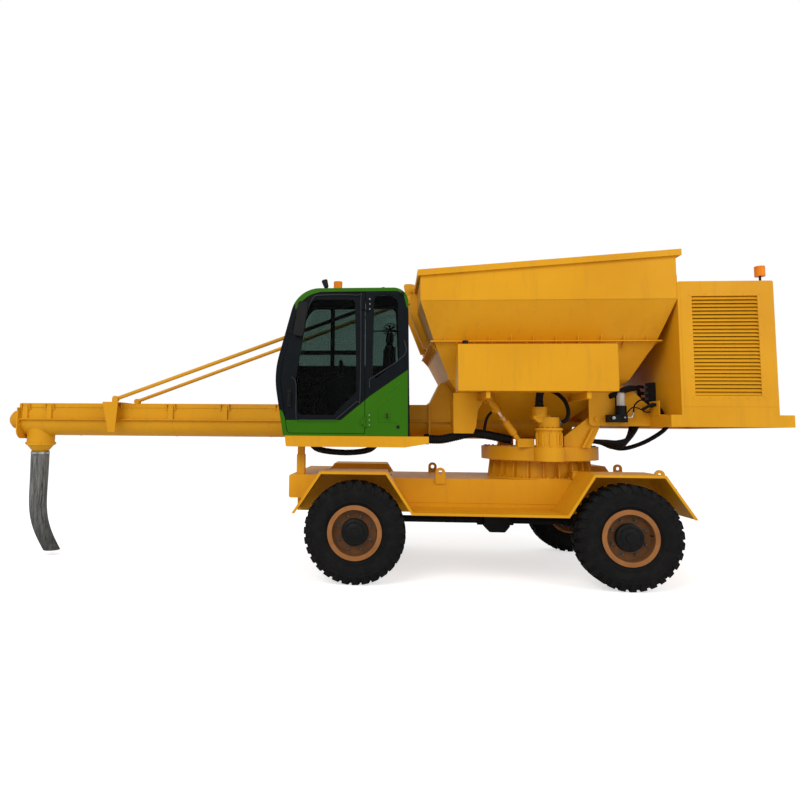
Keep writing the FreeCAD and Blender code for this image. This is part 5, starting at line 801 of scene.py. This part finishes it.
def cab_finish():
    """The shell's outside carries the two-tone paint, and its inside the dark lining."""
    low, high = node_box("cab_shell")
    wall = 0.047

    def inside(face):
        point, slack = face.center, 0.004
        return (low.x + wall < point.x < high.x - wall + 0.005
                and low.y + wall - slack < point.y < high.y - wall + slack
                and point.z < high.z - wall + slack)

    repaint("cab_shell", lining, inside)
    door_face = node_box("cab_door")[0].y
    repaint("cab_door", lining, lambda face: face.normal.y > 0.5)
    repaint("cab_door", steel_dark,
            lambda face: face.center.y < door_face + 0.004 and face.center.x > 0.142)


def cab_fittings():
    low, high = node_box("cab_shell")
    door_face = node_box("cab_door")[0].y
    face = low.y + 0.026

    bolts = Piece()
    for z0, z1 in ((3.061, 3.176), (1.744, 1.856)):
        for k in range(3):
            bolts.turned([(0.010, -0.002), (0.010, 0.003), (0.005, 0.008)],
                         (0.188, low.y + 0.0255, z0 + (z1 - z0) * k / 2), (0, -1, 0), 14)
    bolts.finish("hinge_screws", steel_bright)
    leaves = Piece()
    for z0, z1 in ((3.045, 3.192), (1.728, 1.872)):
        leaves.box((0.155, low.y + 0.0215, z0), (0.207, low.y + 0.0275, z1))
    leaves.finish("hinge_leaves", cab_paint, bevel=0.002)

    lock = Piece()
    x, z = SLEW_X - 1.934, 1.846
    ring = []
    for k in range(28):
        a = 2 * math.pi * k / 28
        shift = 0.016 if math.sin(a) > 0 else -0.016
        ring.append((x + 0.028 * math.cos(a), z + 0.028 * math.sin(a) + shift))
    lock.slab(ring, low.y + 0.0215, low.y + 0.0275)
    lock.finish("lock_plate", green, bevel=0.003)
    keys = Piece()
    for dz in (0.014, -0.016):
        keys.turned([(0.013, -0.0275), (0.013, -0.024), (0.006, -0.024)], (x, low.y, z + dz), (0, 1, 0), 18)
        keys.turned([(0.0135, 0), (0.0135, 0.004), (0.009, 0.006)], (x, low.y + 0.0275, z + dz),
                    (0, -1, 0), 18)
    keys.turned([(0.019, 0), (0.019, 0.005), (0.013, 0.008)], (SLEW_X - 1.811, face, 1.725), (0, -1, 0), 22)
    keys.finish("lock_barrels", plastic)

    handle = Piece()
    hx = -0.716
    handle.box((hx - 0.022, door_face - 0.003, 1.945), (hx + 0.022, door_face + 0.004, 2.135))
    handle.tube([(hx, door_face - 0.002, 1.972), (hx, door_face - 0.024, 1.995),
                 (hx, door_face - 0.026, 2.04),
                 (hx, door_face - 0.024, 2.085), (hx, door_face - 0.002, 2.108)], 0.009, 12)
    handle.finish("door_handle", plastic, "cab_door", bevel=0.003)

    # The seals round the door and quarter windows: rubber, in a grey lightened as painted highlight.
    pressing = Piece()
    outline = [(-0.690, 2.28), (-0.640, 2.20), (-0.635, 1.83), (-0.57, 1.80), (-0.22, 1.80), (-0.17, 1.82),
               (0.045, 2.005), (0.085, 2.075), (0.088, 3.14), (0.05, 3.215), (-0.36, 3.22), (-0.47, 3.17),
               (-0.60, 2.84)]
    pressing.tube([(x, door_face - 0.0005, z) for x, z in outline], 0.0045, 8, 3)
    pressing.finish("door_pressing", seal_rubber_and_highlight, "cab_door")
    quarter = Piece()
    outline = [(0.19, 2.16), (0.19, 2.255), (0.24, 2.29), (0.58, 2.53), (0.58, 2.70)]
    quarter.tube([(x, low.y + 0.0255, z) for x, z in outline], 0.0045, 8, 3)
    quarter.finish("quarter_pressing", seal_rubber_and_highlight)

    welt = Piece()
    crease = [(SLEW_X - 2.068, face, 1.991), (SLEW_X - 1.778, face, 2.228)]
    welt.seam(crease, 0.004)
    second = [(SLEW_X - 1.99, face, 1.965), (SLEW_X - 1.76, face, 2.15)]
    welt.seam(second, 0.003)
    hatch = [(SLEW_X - 2.03, 1.93), (SLEW_X - 2.03, 1.775), (SLEW_X - 1.82, 1.775)]
    welt.seam([(x, face, z) for x, z in hatch], 0.0025)
    welt.finish("panel_creases", green)

    far = Piece()
    y0, y1 = high.y - 0.032, high.y - 0.004
    far.box((-0.335, y0, 2.49), (-0.280, y1, 3.225))
    far.box((-0.745, y0, 2.640), (0.10, y1, 2.695))
    far.box((0.045, y0, 2.49), (0.105, y1, 3.225))
    far.box((-0.745, y0, 2.475), (0.52, y1, 2.50))
    far.finish("far_window_bars", plastic, bevel=0.003)
    guard = Piece()
    y = high.y - 0.0035
    across = [2.51 + 0.024 * k for k in range(30)]
    upright = [-0.72 + 0.024 * k for k in range(51)]
    for z in across:
        start = -0.74 + max(0.0, (z - 2.75) * 0.42)
        guard.tube([(start, y, z), (0.515, y, z)], 0.0014, 4, 0)
    for x in upright:
        top = min(3.22, 2.75 + (x + 0.74) / 0.42)
        guard.tube([(x, y + 0.002, 2.49), (x, y + 0.002, top)], 0.0014, 4, 0)
    guard.finish("window_guard", hub_iron)

    lamp_piece = Piece()
    lx = -0.36
    lamp_piece.turned([(0.014, 0), (0.014, 0.05), (0.026, 0.058), (0.036, 0.135), (0.032, 0.150),
                       (0.012, 0.154)],
                      (lx + 0.05, -1.02, high.z - 0.006), (-0.30, 0, 1), 22)
    lamp_piece.box((lx + 0.02, -1.05, high.z - 0.004), (lx + 0.09, -0.99, high.z + 0.012))
    lamp_piece.finish("roof_lamp", plastic, bevel=0.002)
    Piece().turned([(0.014, -0.004), (0.014, 0.012), (0.02, 0.016), (0.018, 0.026), (0.001, 0.03)],
                   (0.34, -1.10, high.z), UP, 18).finish("roof_knob", green)
    cap = Piece()
    cap.turned([(0.02, -0.01), (0.02, 0.012), (0.014, 0.02)], (0.56, -1.205, 3.235), (0, -1, 0), 18)
    cap.finish("corner_cap", plastic)

    wiper = Piece()
    wiper.tube([(-0.862, -1.06, 2.42), (-0.838, -1.055, 2.58), (-0.781, -1.05, 2.80),
                (-0.732, -1.045, 2.98)], 0.008, 10)
    wiper.tube([(-0.842, -1.06, 2.40), (-0.862, -1.06, 2.42), (-0.862, -1.06, 2.46)], 0.018, 12)
    wiper.finish("wiper_arm", plastic)
    blade = Piece()
    blade.tube([(-0.780, -1.10, 2.80), (-0.752, -1.10, 2.90), (-0.715, -1.10, 3.04)], 0.006, 8)
    blade.finish("wiper_blade", steel_bright)

    arms = Piece()
    arms.tube([(-0.60, -1.172, 3.168), (-0.62, -1.215, 3.13), (-0.585, -1.232, 3.08)], 0.009, 10)
    arms.tube([(-0.66, -1.165, 2.79), (-0.672, -1.205, 2.80), (-0.63, -1.226, 2.82)], 0.008, 10)
    arms.finish("mirror_arms", plastic, "cab_door")

    rails = Piece()
    for y in (-1.14, -0.42):
        rails.tube([(-0.866, y, 2.10), (-0.879, y, 2.28), (-0.855, y, 2.50), (-0.802, y, 2.70),
                    (-0.718, y, 3.00),
                    (-0.693, y, 3.10)], 0.006, 8)
    rails.finish("windscreen_rails", plastic)

    fan = Piece()
    fx, fy, fz = 0.425, -0.62, 2.915
    fan.turned([(0.078, -0.012), (0.084, -0.012), (0.084, 0.012), (0.078, 0.012)], (fx, fy, fz), (0, 1, 0),
               32, close=True)
    for k in range(6):
        a = math.pi * k / 3
        fan.tube([(fx, fy, fz), (fx + 0.08 * math.cos(a), fy, fz + 0.08 * math.sin(a))], 0.004, 6, 0)
        b = a + 0.5
        fan.slab([(fx + 0.012 * math.cos(b), fz + 0.012 * math.sin(b)),
                  (fx + 0.07 * math.cos(b), fz + 0.07 * math.sin(b)),
                  (fx + 0.062 * math.cos(b + 0.55), fz + 0.062 * math.sin(b + 0.55))], fy - 0.002,
                  fy + 0.002)
    fan.turned([(0.024, -0.02), (0.024, 0.03), (0.016, 0.034)], (fx, fy, fz), (0, 1, 0), 18)
    fan.tube([(fx, fy + 0.02, fz - 0.08), (fx, fy + 0.06, fz - 0.11), (fx, high.y - 0.04, fz - 0.11)],
             0.008, 8)
    fan.finish("cab_fan", hub_iron)
    Piece().seam([(0.11, -0.44, 2.93), (0.50, -0.44, 2.93)], 0.009).finish("grab_bar", steel)

    sticks = Piece()
    for y in (-0.477, -1.067):
        sticks.tube([(-0.13, y, 2.30), (-0.135, y, 2.36), (-0.14, y, 2.42)], 0.008, 10)
        sticks.turned([(0.022, 0), (0.027, 0.03), (0.022, 0.075), (0.012, 0.092)], (-0.14, y, 2.40),
                      (-0.1, 0, 1), 18)
        sticks.turned([(0.036, 0), (0.030, 0.012), (0.016, 0.03)], (-0.13, y, 2.300), UP, 18)
    sticks.finish("joysticks", plastic)
    wheel = Piece()
    wheel.tube([(-0.50, -0.77, 1.67), (-0.47, -0.77, 1.95), (-0.40, -0.77, 2.24)], 0.032, 14)
    place, tilt = Vector((-0.385, -0.77, 2.30)), (-0.35, 0, 1)
    rim = circle_points(place, tilt, 0.19, 36)
    wheel.tube(rim + rim[:1], 0.013, 10, 0)
    for point in circle_points(place, tilt, 0.185, 3, 0.4):
        wheel.seam([place, point], 0.009)
    wheel.finish("steering_wheel", plastic)


def cushion(name, low, high, lean=0.0, crown=0.018):
    """A sewn pad: a rounded box, blown up a little by a cloth simulation, with its welt pressed in."""
    low, high = Vector(low), Vector(high)
    centre = (low + high) / 2
    bpy.ops.mesh.primitive_cube_add(size=1, location=centre)
    made = bpy.context.object
    made.name = name
    made.scale = [(h - l) - 2 * crown * 0.6 for l, h in zip(low, high)]
    bpy.ops.object.transform_apply(location=False, rotation=False, scale=True)
    bevel = made.modifiers.new("bevel", "BEVEL")
    rounding = 0.28
    bevel.width = min(made.dimensions) * rounding
    bevel.segments = 4
    remesh = made.modifiers.new("remesh", "REMESH")
    remesh.mode = "VOXEL"
    remesh.voxel_size = 0.006
    for modifier in list(made.modifiers):
        bpy.ops.object.modifier_apply(modifier=modifier.name)
    start = [v.co.copy() for v in made.data.vertices]
    cloth = made.modifiers.new("cloth", "CLOTH")
    cloth.settings.use_pressure = True
    cloth.settings.uniform_pressure_force = 4
    cloth.settings.effector_weights.gravity = 0
    cloth.settings.quality = 4
    cloth.point_cache.frame_start = 1
    cloth.point_cache.frame_end = 16
    scene = bpy.context.scene
    for step in range(1, 15):
        scene.frame_set(step)
    bpy.ops.object.modifier_apply(modifier="cloth")
    scene.frame_set(1)
    for vertex, before in zip(made.data.vertices, start):
        move = vertex.co - before
        if move.length > crown:
            vertex.co = before + move.normalized() * crown
    half = [d / 2 for d in made.dimensions]
    thin = min(range(3), key=lambda i: half[i])
    wide = [i for i in range(3) if i != thin]
    welt_at, stripe_at, depth = 0.80, 0.38, 0.16
    for vertex in made.data.vertices:
        edge = max(abs(vertex.co[i]) / max(half[i], 1e-6) for i in wide)
        across = abs(vertex.co[wide[0]]) / half[wide[0]]
        welt = math.exp(-((edge - welt_at) / 0.035) ** 2)
        stripe = math.exp(-((across - stripe_at) / 0.03) ** 2) if edge < welt_at else 0.0
        vertex.co[thin] *= 1 - depth * max(welt, 0.6 * stripe)
    if lean:
        made.data.transform(Matrix.Rotation(lean, 4, "Y"))
    made.data.shade_smooth()
    made.data.materials.append(seat_cloth)
    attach(made, "superstructure")
    return made


def seat():
    low, high = node_box("operator_seat")
    middle = (low.y + high.y) / 2
    cushion("seat_cushion", (low.x + 0.02, low.y + 0.012, 2.095), (low.x + 0.50, high.y - 0.012, 2.235))
    cushion("seat_back", (high.x - 0.165, low.y + 0.02, 2.20), (high.x - 0.045, high.y - 0.02, 2.70), 0.05)
    cushion("head_rest", (high.x - 0.135, middle - 0.13, 2.705),
            (high.x - 0.045, middle + 0.13, high.z - 0.015), 0.05, 0.012)
    stand = Piece()
    stand.box((low.x + 0.08, low.y + 0.06, low.z), (low.x + 0.46, high.y - 0.06, low.z + 0.05))
    for k in range(6):
        inset = 0.012 if k % 2 else 0.0
        z = low.z + 0.05 + k * 0.045
        stand.box((low.x + 0.10 + inset, low.y + 0.08 + inset, z),
                  (low.x + 0.44 - inset, high.y - 0.08 - inset, z + 0.045))
    stand.box((low.x + 0.04, low.y + 0.03, low.z + 0.32), (low.x + 0.48, high.y - 0.03, 2.095))
    stand.box((high.x - 0.055, low.y + 0.06, 2.10), (high.x - 0.02, high.y - 0.06, 2.66))
    for side in SIDES:
        stand.box((low.x + 0.14, middle + side * 0.205, 2.36), (high.x - 0.07, middle + side * 0.235, 2.40))
    made = stand.finish("seat_stand", plastic, bevel=0.004)
    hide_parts("operator_seat")


# ---- hoses and small fittings ----------------------------------------------------------------------

def route(side, *points):
    """Places at one Y, from pairs of (distance ahead of the slewing axis, height)."""
    return [(ahead(at), side, z) for at, z in points]


def hydraulic_hoses():
    """The hose node again, point by point as in the part's source, with ribs and couplings."""
    y = -0.400
    ribbed = Piece().tube(route(y, (1.480, 1.586), (1.270, 1.584), (1.090, 1.622), (0.891, 1.664),
                                (0.673, 1.636), (0.420, 1.586)), 0.0565, 24, 8, 0.006, 0.026)
    made = ribbed.finish("ribbed_conduit", hose_black, sharp=60)
    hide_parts("hydraulic_hoses")
    loom_sides = (-0.740, -0.630)
    loom_ends = (2.850, 2.050)
    loom = Piece()
    for side in loom_sides:
        loom.tube(route(side, (2.850, 1.590), (2.848, 1.540), (2.740, 1.452), (2.430, 1.420),
                        (2.160, 1.452), (2.052, 1.540), (2.050, 1.590)), 0.0355, 18, 8, 0.003, 0.016)
    loom.finish("platform_looms", hose_black, sharp=60)
    feed = Piece()
    collars = Piece()
    feed_hose = (0.0265, 16, 8, 0.0015, 0.010)
    for k in range(4):
        side = -(0.520 - k * 0.066)
        feed.tube(route(side, (-0.250, 1.575), (-0.480, 1.578), (-0.660, 1.574 - 0.004 * k),
                        (-0.800, 1.568 - 0.020 * k), (-0.925, 1.606 - 0.030 * k), (-1.005, 1.704 - 0.024 * k),
                        (-1.050, 1.788 - 0.006 * k), (-1.105, 1.815)), *feed_hose)
        collars.turned([(0.031, 0), (0.031, 0.02), (0.028, 0.023), (0.028, 0.034), (0.032, 0.036),
                        (0.032, 0.049)], (ahead(-1.085), side, 1.815), (1, 0, 0), 20)
    side = -(0.520 - 4 * 0.066)
    feed.tube(route(side, (-0.250, 1.576), (-0.480, 1.580), (-0.660, 1.572), (-0.920, 1.488), (-1.180, 1.552),
                    (-1.420, 1.690), (-1.520, 1.800), (-1.528, 1.846)), *feed_hose)
    feed.finish("engine_hoses", hose_black, sharp=60)
    collars.turned([(0.066, 0), (0.066, 0.05), (0.060, 0.052)], (ahead(1.4697), y, 1.586), (1, 0, 0), 28)
    grip = 0.044
    for loom_y in loom_sides:
        for x in (ahead(at) for at in loom_ends):
            collars.box((x - grip, loom_y - grip, 1.572), (x + grip, loom_y + grip, 1.6065))
            collars.turned([(0.039, 0), (0.039, 0.035)], (x, loom_y, 1.537), UP, 20)
    collars.box((ahead(-1.488), side - 0.04, 1.8325), (ahead(-1.568), side + 0.04, 1.8625))
    collars.finish("hose_couplings", hub_iron, bevel=0.002)


def bending_hoses():
    """The hoses at the luffing pivot and at the rams, on no body."""
    motor_x, motor_y = ahead(MOTOR_AHEAD), GEARBOX_Y
    thick = Piece()
    thick.tube([(motor_x, motor_y, node_box("slew_drive")[1].z + 0.02), (motor_x, motor_y, 2.06),
                (motor_x + 0.01, motor_y - 0.03, 2.15),
                (motor_x + 0.05, motor_y - 0.10, 2.23), (motor_x + 0.08, motor_y - 0.20, 2.26),
                (motor_x + 0.08, -0.958, 2.26)], 0.045, 20, 8, 0.004, 0.022)
    made = thick.finish("motor_hose", hose_black, "", sharp=60)
    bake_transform(made)
    thin = Piece()
    thin.tube([(ahead(-0.118), -0.700, 1.80), (ahead(-0.170), -0.700, 1.835), (ahead(-0.190), -0.695, 1.94),
               (ahead(-0.150), -0.680, 2.06), (ahead(-0.075), -0.655, 2.14),
               (ahead(-0.030), -0.612, 2.17)], 0.024, 16, 8, 0.0015, 0.010)
    made = thin.finish("gearbox_hose", hose_black, "", sharp=60)
    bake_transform(made)
    fittings = Piece()
    fittings.turned([(0.030, 0), (0.030, 0.02), (0.026, 0.03)], (ahead(-0.066), -0.700, 1.795),
                    (1, 0, 0.1), 16)
    fittings.box((ahead(-0.060), -0.735, 1.760), (ahead(-0.085), -0.665, 1.835))
    fittings.finish("gearbox_port", steel_dark, "turntable", bevel=0.003)
    for side in SIDES:
        ram = Piece()
        points = [(1.680, side * 0.578, 1.945), (1.640, side * 0.560, 1.915), (1.600, side * 0.530, 1.86),
                  (1.580, side * 0.480, 1.78), (1.575, side * 0.430, 1.70)]
        if side == RIGHT:
            points = points[:4] + [(1.570, side * 0.44, 1.72), (1.565, side * 0.36, 1.70)]
        ram.tube(points, 0.017, 14, 8, 0.001, 0.008)
        made = ram.finish(f"ram_hose_{'left' if side == LEFT else 'right'}", hose_black, "", sharp=60)
        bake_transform(made)


def pump_and_valves():
    low, high = node_box("grease_pump")
    front = (low.x, low.y, low.z)
    back = (high.x, low.y, low.z)

    def off(corner, *moves):
        """Places at these moves from a corner of the pump."""
        return [tuple(c + m for c, m in zip(corner, move)) for move in moves]

    metal = Piece()
    metal.turned([(0.018, 0), (0.018, 0.02), (0.012, 0.022), (0.012, 0.045)],
                 off(front, (0.045, 0, 0.05))[0], (0, -1, 0), 14)
    metal.turned([(0.014, 0), (0.014, 0.025), (0.009, 0.04)],
                 off(back, (-0.05, 0.01, 0.055))[0], (0, -1, 0), 14)
    metal.bolts(off(back, (-0.02, 0.04, 0.093)), UP, 0.012)
    metal.tube(off(back, (0, 0.05, 0.06), (0.05, 0.045, 0.06), (0.07, 0.04, 0.10)), 0.009, 10)
    metal.turned([(0.016, 0), (0.016, 0.02)], off(back, (0.07, 0.04, 0.095))[0], UP, 12)
    metal.finish("pump_fittings", steel_bright)
    lines = Piece()
    lines.tube(off(back, (0.07, 0.04, 0.11), (0.09, 0.05, 0.20), (0.16, 0.03, 0.26), (0.27, 0.06, 0.21))
               + [(3.50, -0.60, 2.04)], 0.009, 10)
    lines.tube(off(back, (-0.03, 0.03, 0.08), (0.04, -0.02, 0.17), (0.14, 0, 0.15), (0.22, 0.06, 0.12))
               + [(3.50, -0.63, 1.93)], 0.007, 8)
    lines.finish("grease_lines", hose_black)
    bank_low = node_box("valve_bank")[0]
    bank = Piece()
    for k in range(5):
        z = bank_low.z + 0.06 + k * 0.072
        bank.turned([(0.024, 0), (0.024, 0.02), (0.017, 0.022), (0.017, 0.05)],
                    (bank_low.x + 0.002, -0.53 + 0.01 * k, z), (-1, 0, 0), 14)
    bank.finish("valve_ports", steel_dark)
    hoses = Piece()
    for k in range(3):
        z = bank_low.z + 0.204 + k * 0.072
        y = -0.51 + 0.01 * k
        hoses.tube([(bank_low.x - 0.045, y, z), (bank_low.x - 0.10, y - 0.02, z + 0.006),
                    (3.33, y - 0.13, 2.19 + 0.012 * k),
                    (3.18, -0.73 - 0.01 * k, 2.17 + 0.02 * k), (3.05, -0.71 - 0.01 * k, 2.12 + 0.016 * k),
                    (2.98, -0.60, 2.08 + 0.01 * k)], 0.020, 14, 8, 0.001, 0.01)
    for k in range(3):
        y = -0.74 - 0.05 * k
        hoses.tube([(3.36 - 0.02 * k, y + 0.06, 1.95), (3.42, y, 1.99 + 0.01 * k), (3.49, y, 1.96),
                    (3.53, y + 0.01, 1.90)], 0.016, 12, 8, 0.001, 0.01)
    hoses.finish("valve_hoses", hose_black, sharp=60)
    plate = Piece()
    plate.box((3.448, -0.92, 1.885), (3.460, -0.66, 2.045))
    plate.box((3.448, -0.92, 1.879), (3.54, -0.66, 1.889))
    plate.finish("deck_bracket", yellow, bevel=0.002)


def ram_fittings():
    top, foot = Vector((ahead(0.714), 0, 2.073)), Vector((ahead(0.354), 0, 1.559))
    along = (foot - top).normalized()
    barrel = Piece()
    for side in SIDES:
        centre = Vector((0, side * 0.620, 0))
        mouth = top + centre + along * 0.187
        barrel.turned([(0.0435, -0.03), (0.0455, -0.028), (0.0455, -0.002), (0.040, 0.001)],
                      mouth, along, 32)
        barrel.turned([(0.0435, -0.002), (0.0455, 0), (0.0435, 0.002)], mouth - along * 0.09, along, 32)
        port = mouth - along * 0.045
        barrel.turned([(0.018, 0.035), (0.018, 0.062)], port, (-0.80, 0, -0.57), 14)
    barrel.finish("ram_barrel_bands", yellow, "luff_barrels")
    rod = Piece()
    for side in SIDES:
        centre = Vector((0, side * 0.620, 0))
        sleeve = foot + centre - along * 0.121
        for step in (0.03, 0.10, 0.17, 0.24):
            rod.turned([(0.0435, -0.006), (0.046, -0.004), (0.046, 0.004), (0.0435, 0.006)],
                       sleeve - along * step, along, 32)
    rod.finish("ram_sleeve_rings", yellow, "luff_rods")
    sleeve_length = 0.414

    def on_sleeve(face):
        return (foot - Vector((face.center.x, 0, face.center.z))).dot(along) < sleeve_length

    repaint("luff_rods", yellow, on_sleeve)


wheels()
chassis_fittings()
drive_fittings()
boom_fittings()
hopper_fittings()
housing_fittings()
cab_finish()
cab_fittings()
seat()
hydraulic_hoses()
bending_hoses()
pump_and_valves()
ram_fittings()


# ---- stage, light and camera -----------------------------------------------------------------------

def stage():
    m = Mat("floor")
    paths = m.tree.nodes.new("ShaderNodeLightPath")
    m.set(Base_Color=(0.80, 0.80, 0.80), Roughness=0.9, Specular_IOR_Level=0.2, Emission_Color=(1, 1, 1))
    glow = 0.62
    camera_ray = m.math("MULTIPLY", paths.outputs["Is Camera Ray"], glow)
    m.set(Emission_Strength=camera_ray)
    floor_size = 400
    bpy.ops.mesh.primitive_plane_add(size=floor_size, location=(0, 0, 0))
    floor = bpy.context.object
    floor.name = "floor"
    floor.data.materials.append(m.material)
    world = bpy.data.worlds.new("studio")
    bpy.context.scene.world = world
    world.use_nodes = True
    tree = world.node_tree
    background = tree.nodes["Background"]
    background.inputs["Color"].default_value = (1, 1, 1, 1)
    rays = tree.nodes.new("ShaderNodeLightPath")
    seen = tree.nodes.new("ShaderNodeMath")
    seen.operation = "MAXIMUM"
    tree.links.new(rays.outputs["Is Camera Ray"], seen.inputs[0])
    tree.links.new(rays.outputs["Is Transmission Ray"], seen.inputs[1])
    strength = tree.nodes.new("ShaderNodeMapRange")
    lighting, seen_white = 0.56, 1.0
    strength.inputs["To Min"].default_value = lighting
    strength.inputs["To Max"].default_value = seen_white
    tree.links.new(seen.outputs[0], strength.inputs["Value"])
    tree.links.new(strength.outputs[0], background.inputs["Strength"])


def lamp(name, where, target, size, power):
    data = bpy.data.lights.new(name, "AREA")
    data.size = size
    data.energy = power
    lamp_object = bpy.data.objects.new(name, data)
    lamp_object.location = where
    lamp_object.rotation_euler = (Vector(target) - Vector(where)).to_track_quat("-Z", "Y").to_euler()
    bpy.context.collection.objects.link(lamp_object)


def camera():
    yaw, pitch, roll = -0.0735, 0.0870, -0.0080
    place = Vector((ahead(1.9159), -8.1511, 1.6578))
    forward = Vector((math.sin(yaw) * math.cos(pitch), math.cos(yaw) * math.cos(pitch), math.sin(pitch)))
    right = Vector((math.cos(yaw), -math.sin(yaw), 0))
    down = forward.cross(right)
    right, down = (right * math.cos(roll) + down * math.sin(roll),
                   down * math.cos(roll) - right * math.sin(roll))
    data = bpy.data.cameras.new("camera")
    data.sensor_width = 36
    data.lens = 27.8636
    data.shift_x, data.shift_y = 0.07097, -0.02679
    data.clip_end = 500
    item = bpy.data.objects.new("camera", data)
    item.matrix_world = Matrix((
        (right.x, -down.x, -forward.x, place.x),
        (right.y, -down.y, -forward.y, place.y), (right.z, -down.z, -forward.z, place.z), (0, 0, 0, 1)))
    bpy.context.collection.objects.link(item)
    bpy.context.scene.camera = item


stage()
lamp("key", (-6, -14, 12), (0, 0, 1.5), 9, 1250)
lamp("fill", (12, -10, 8), (0, 0, 1.5), 9, 600)
camera()

bpy.context.scene.view_settings.view_transform = "Standard"
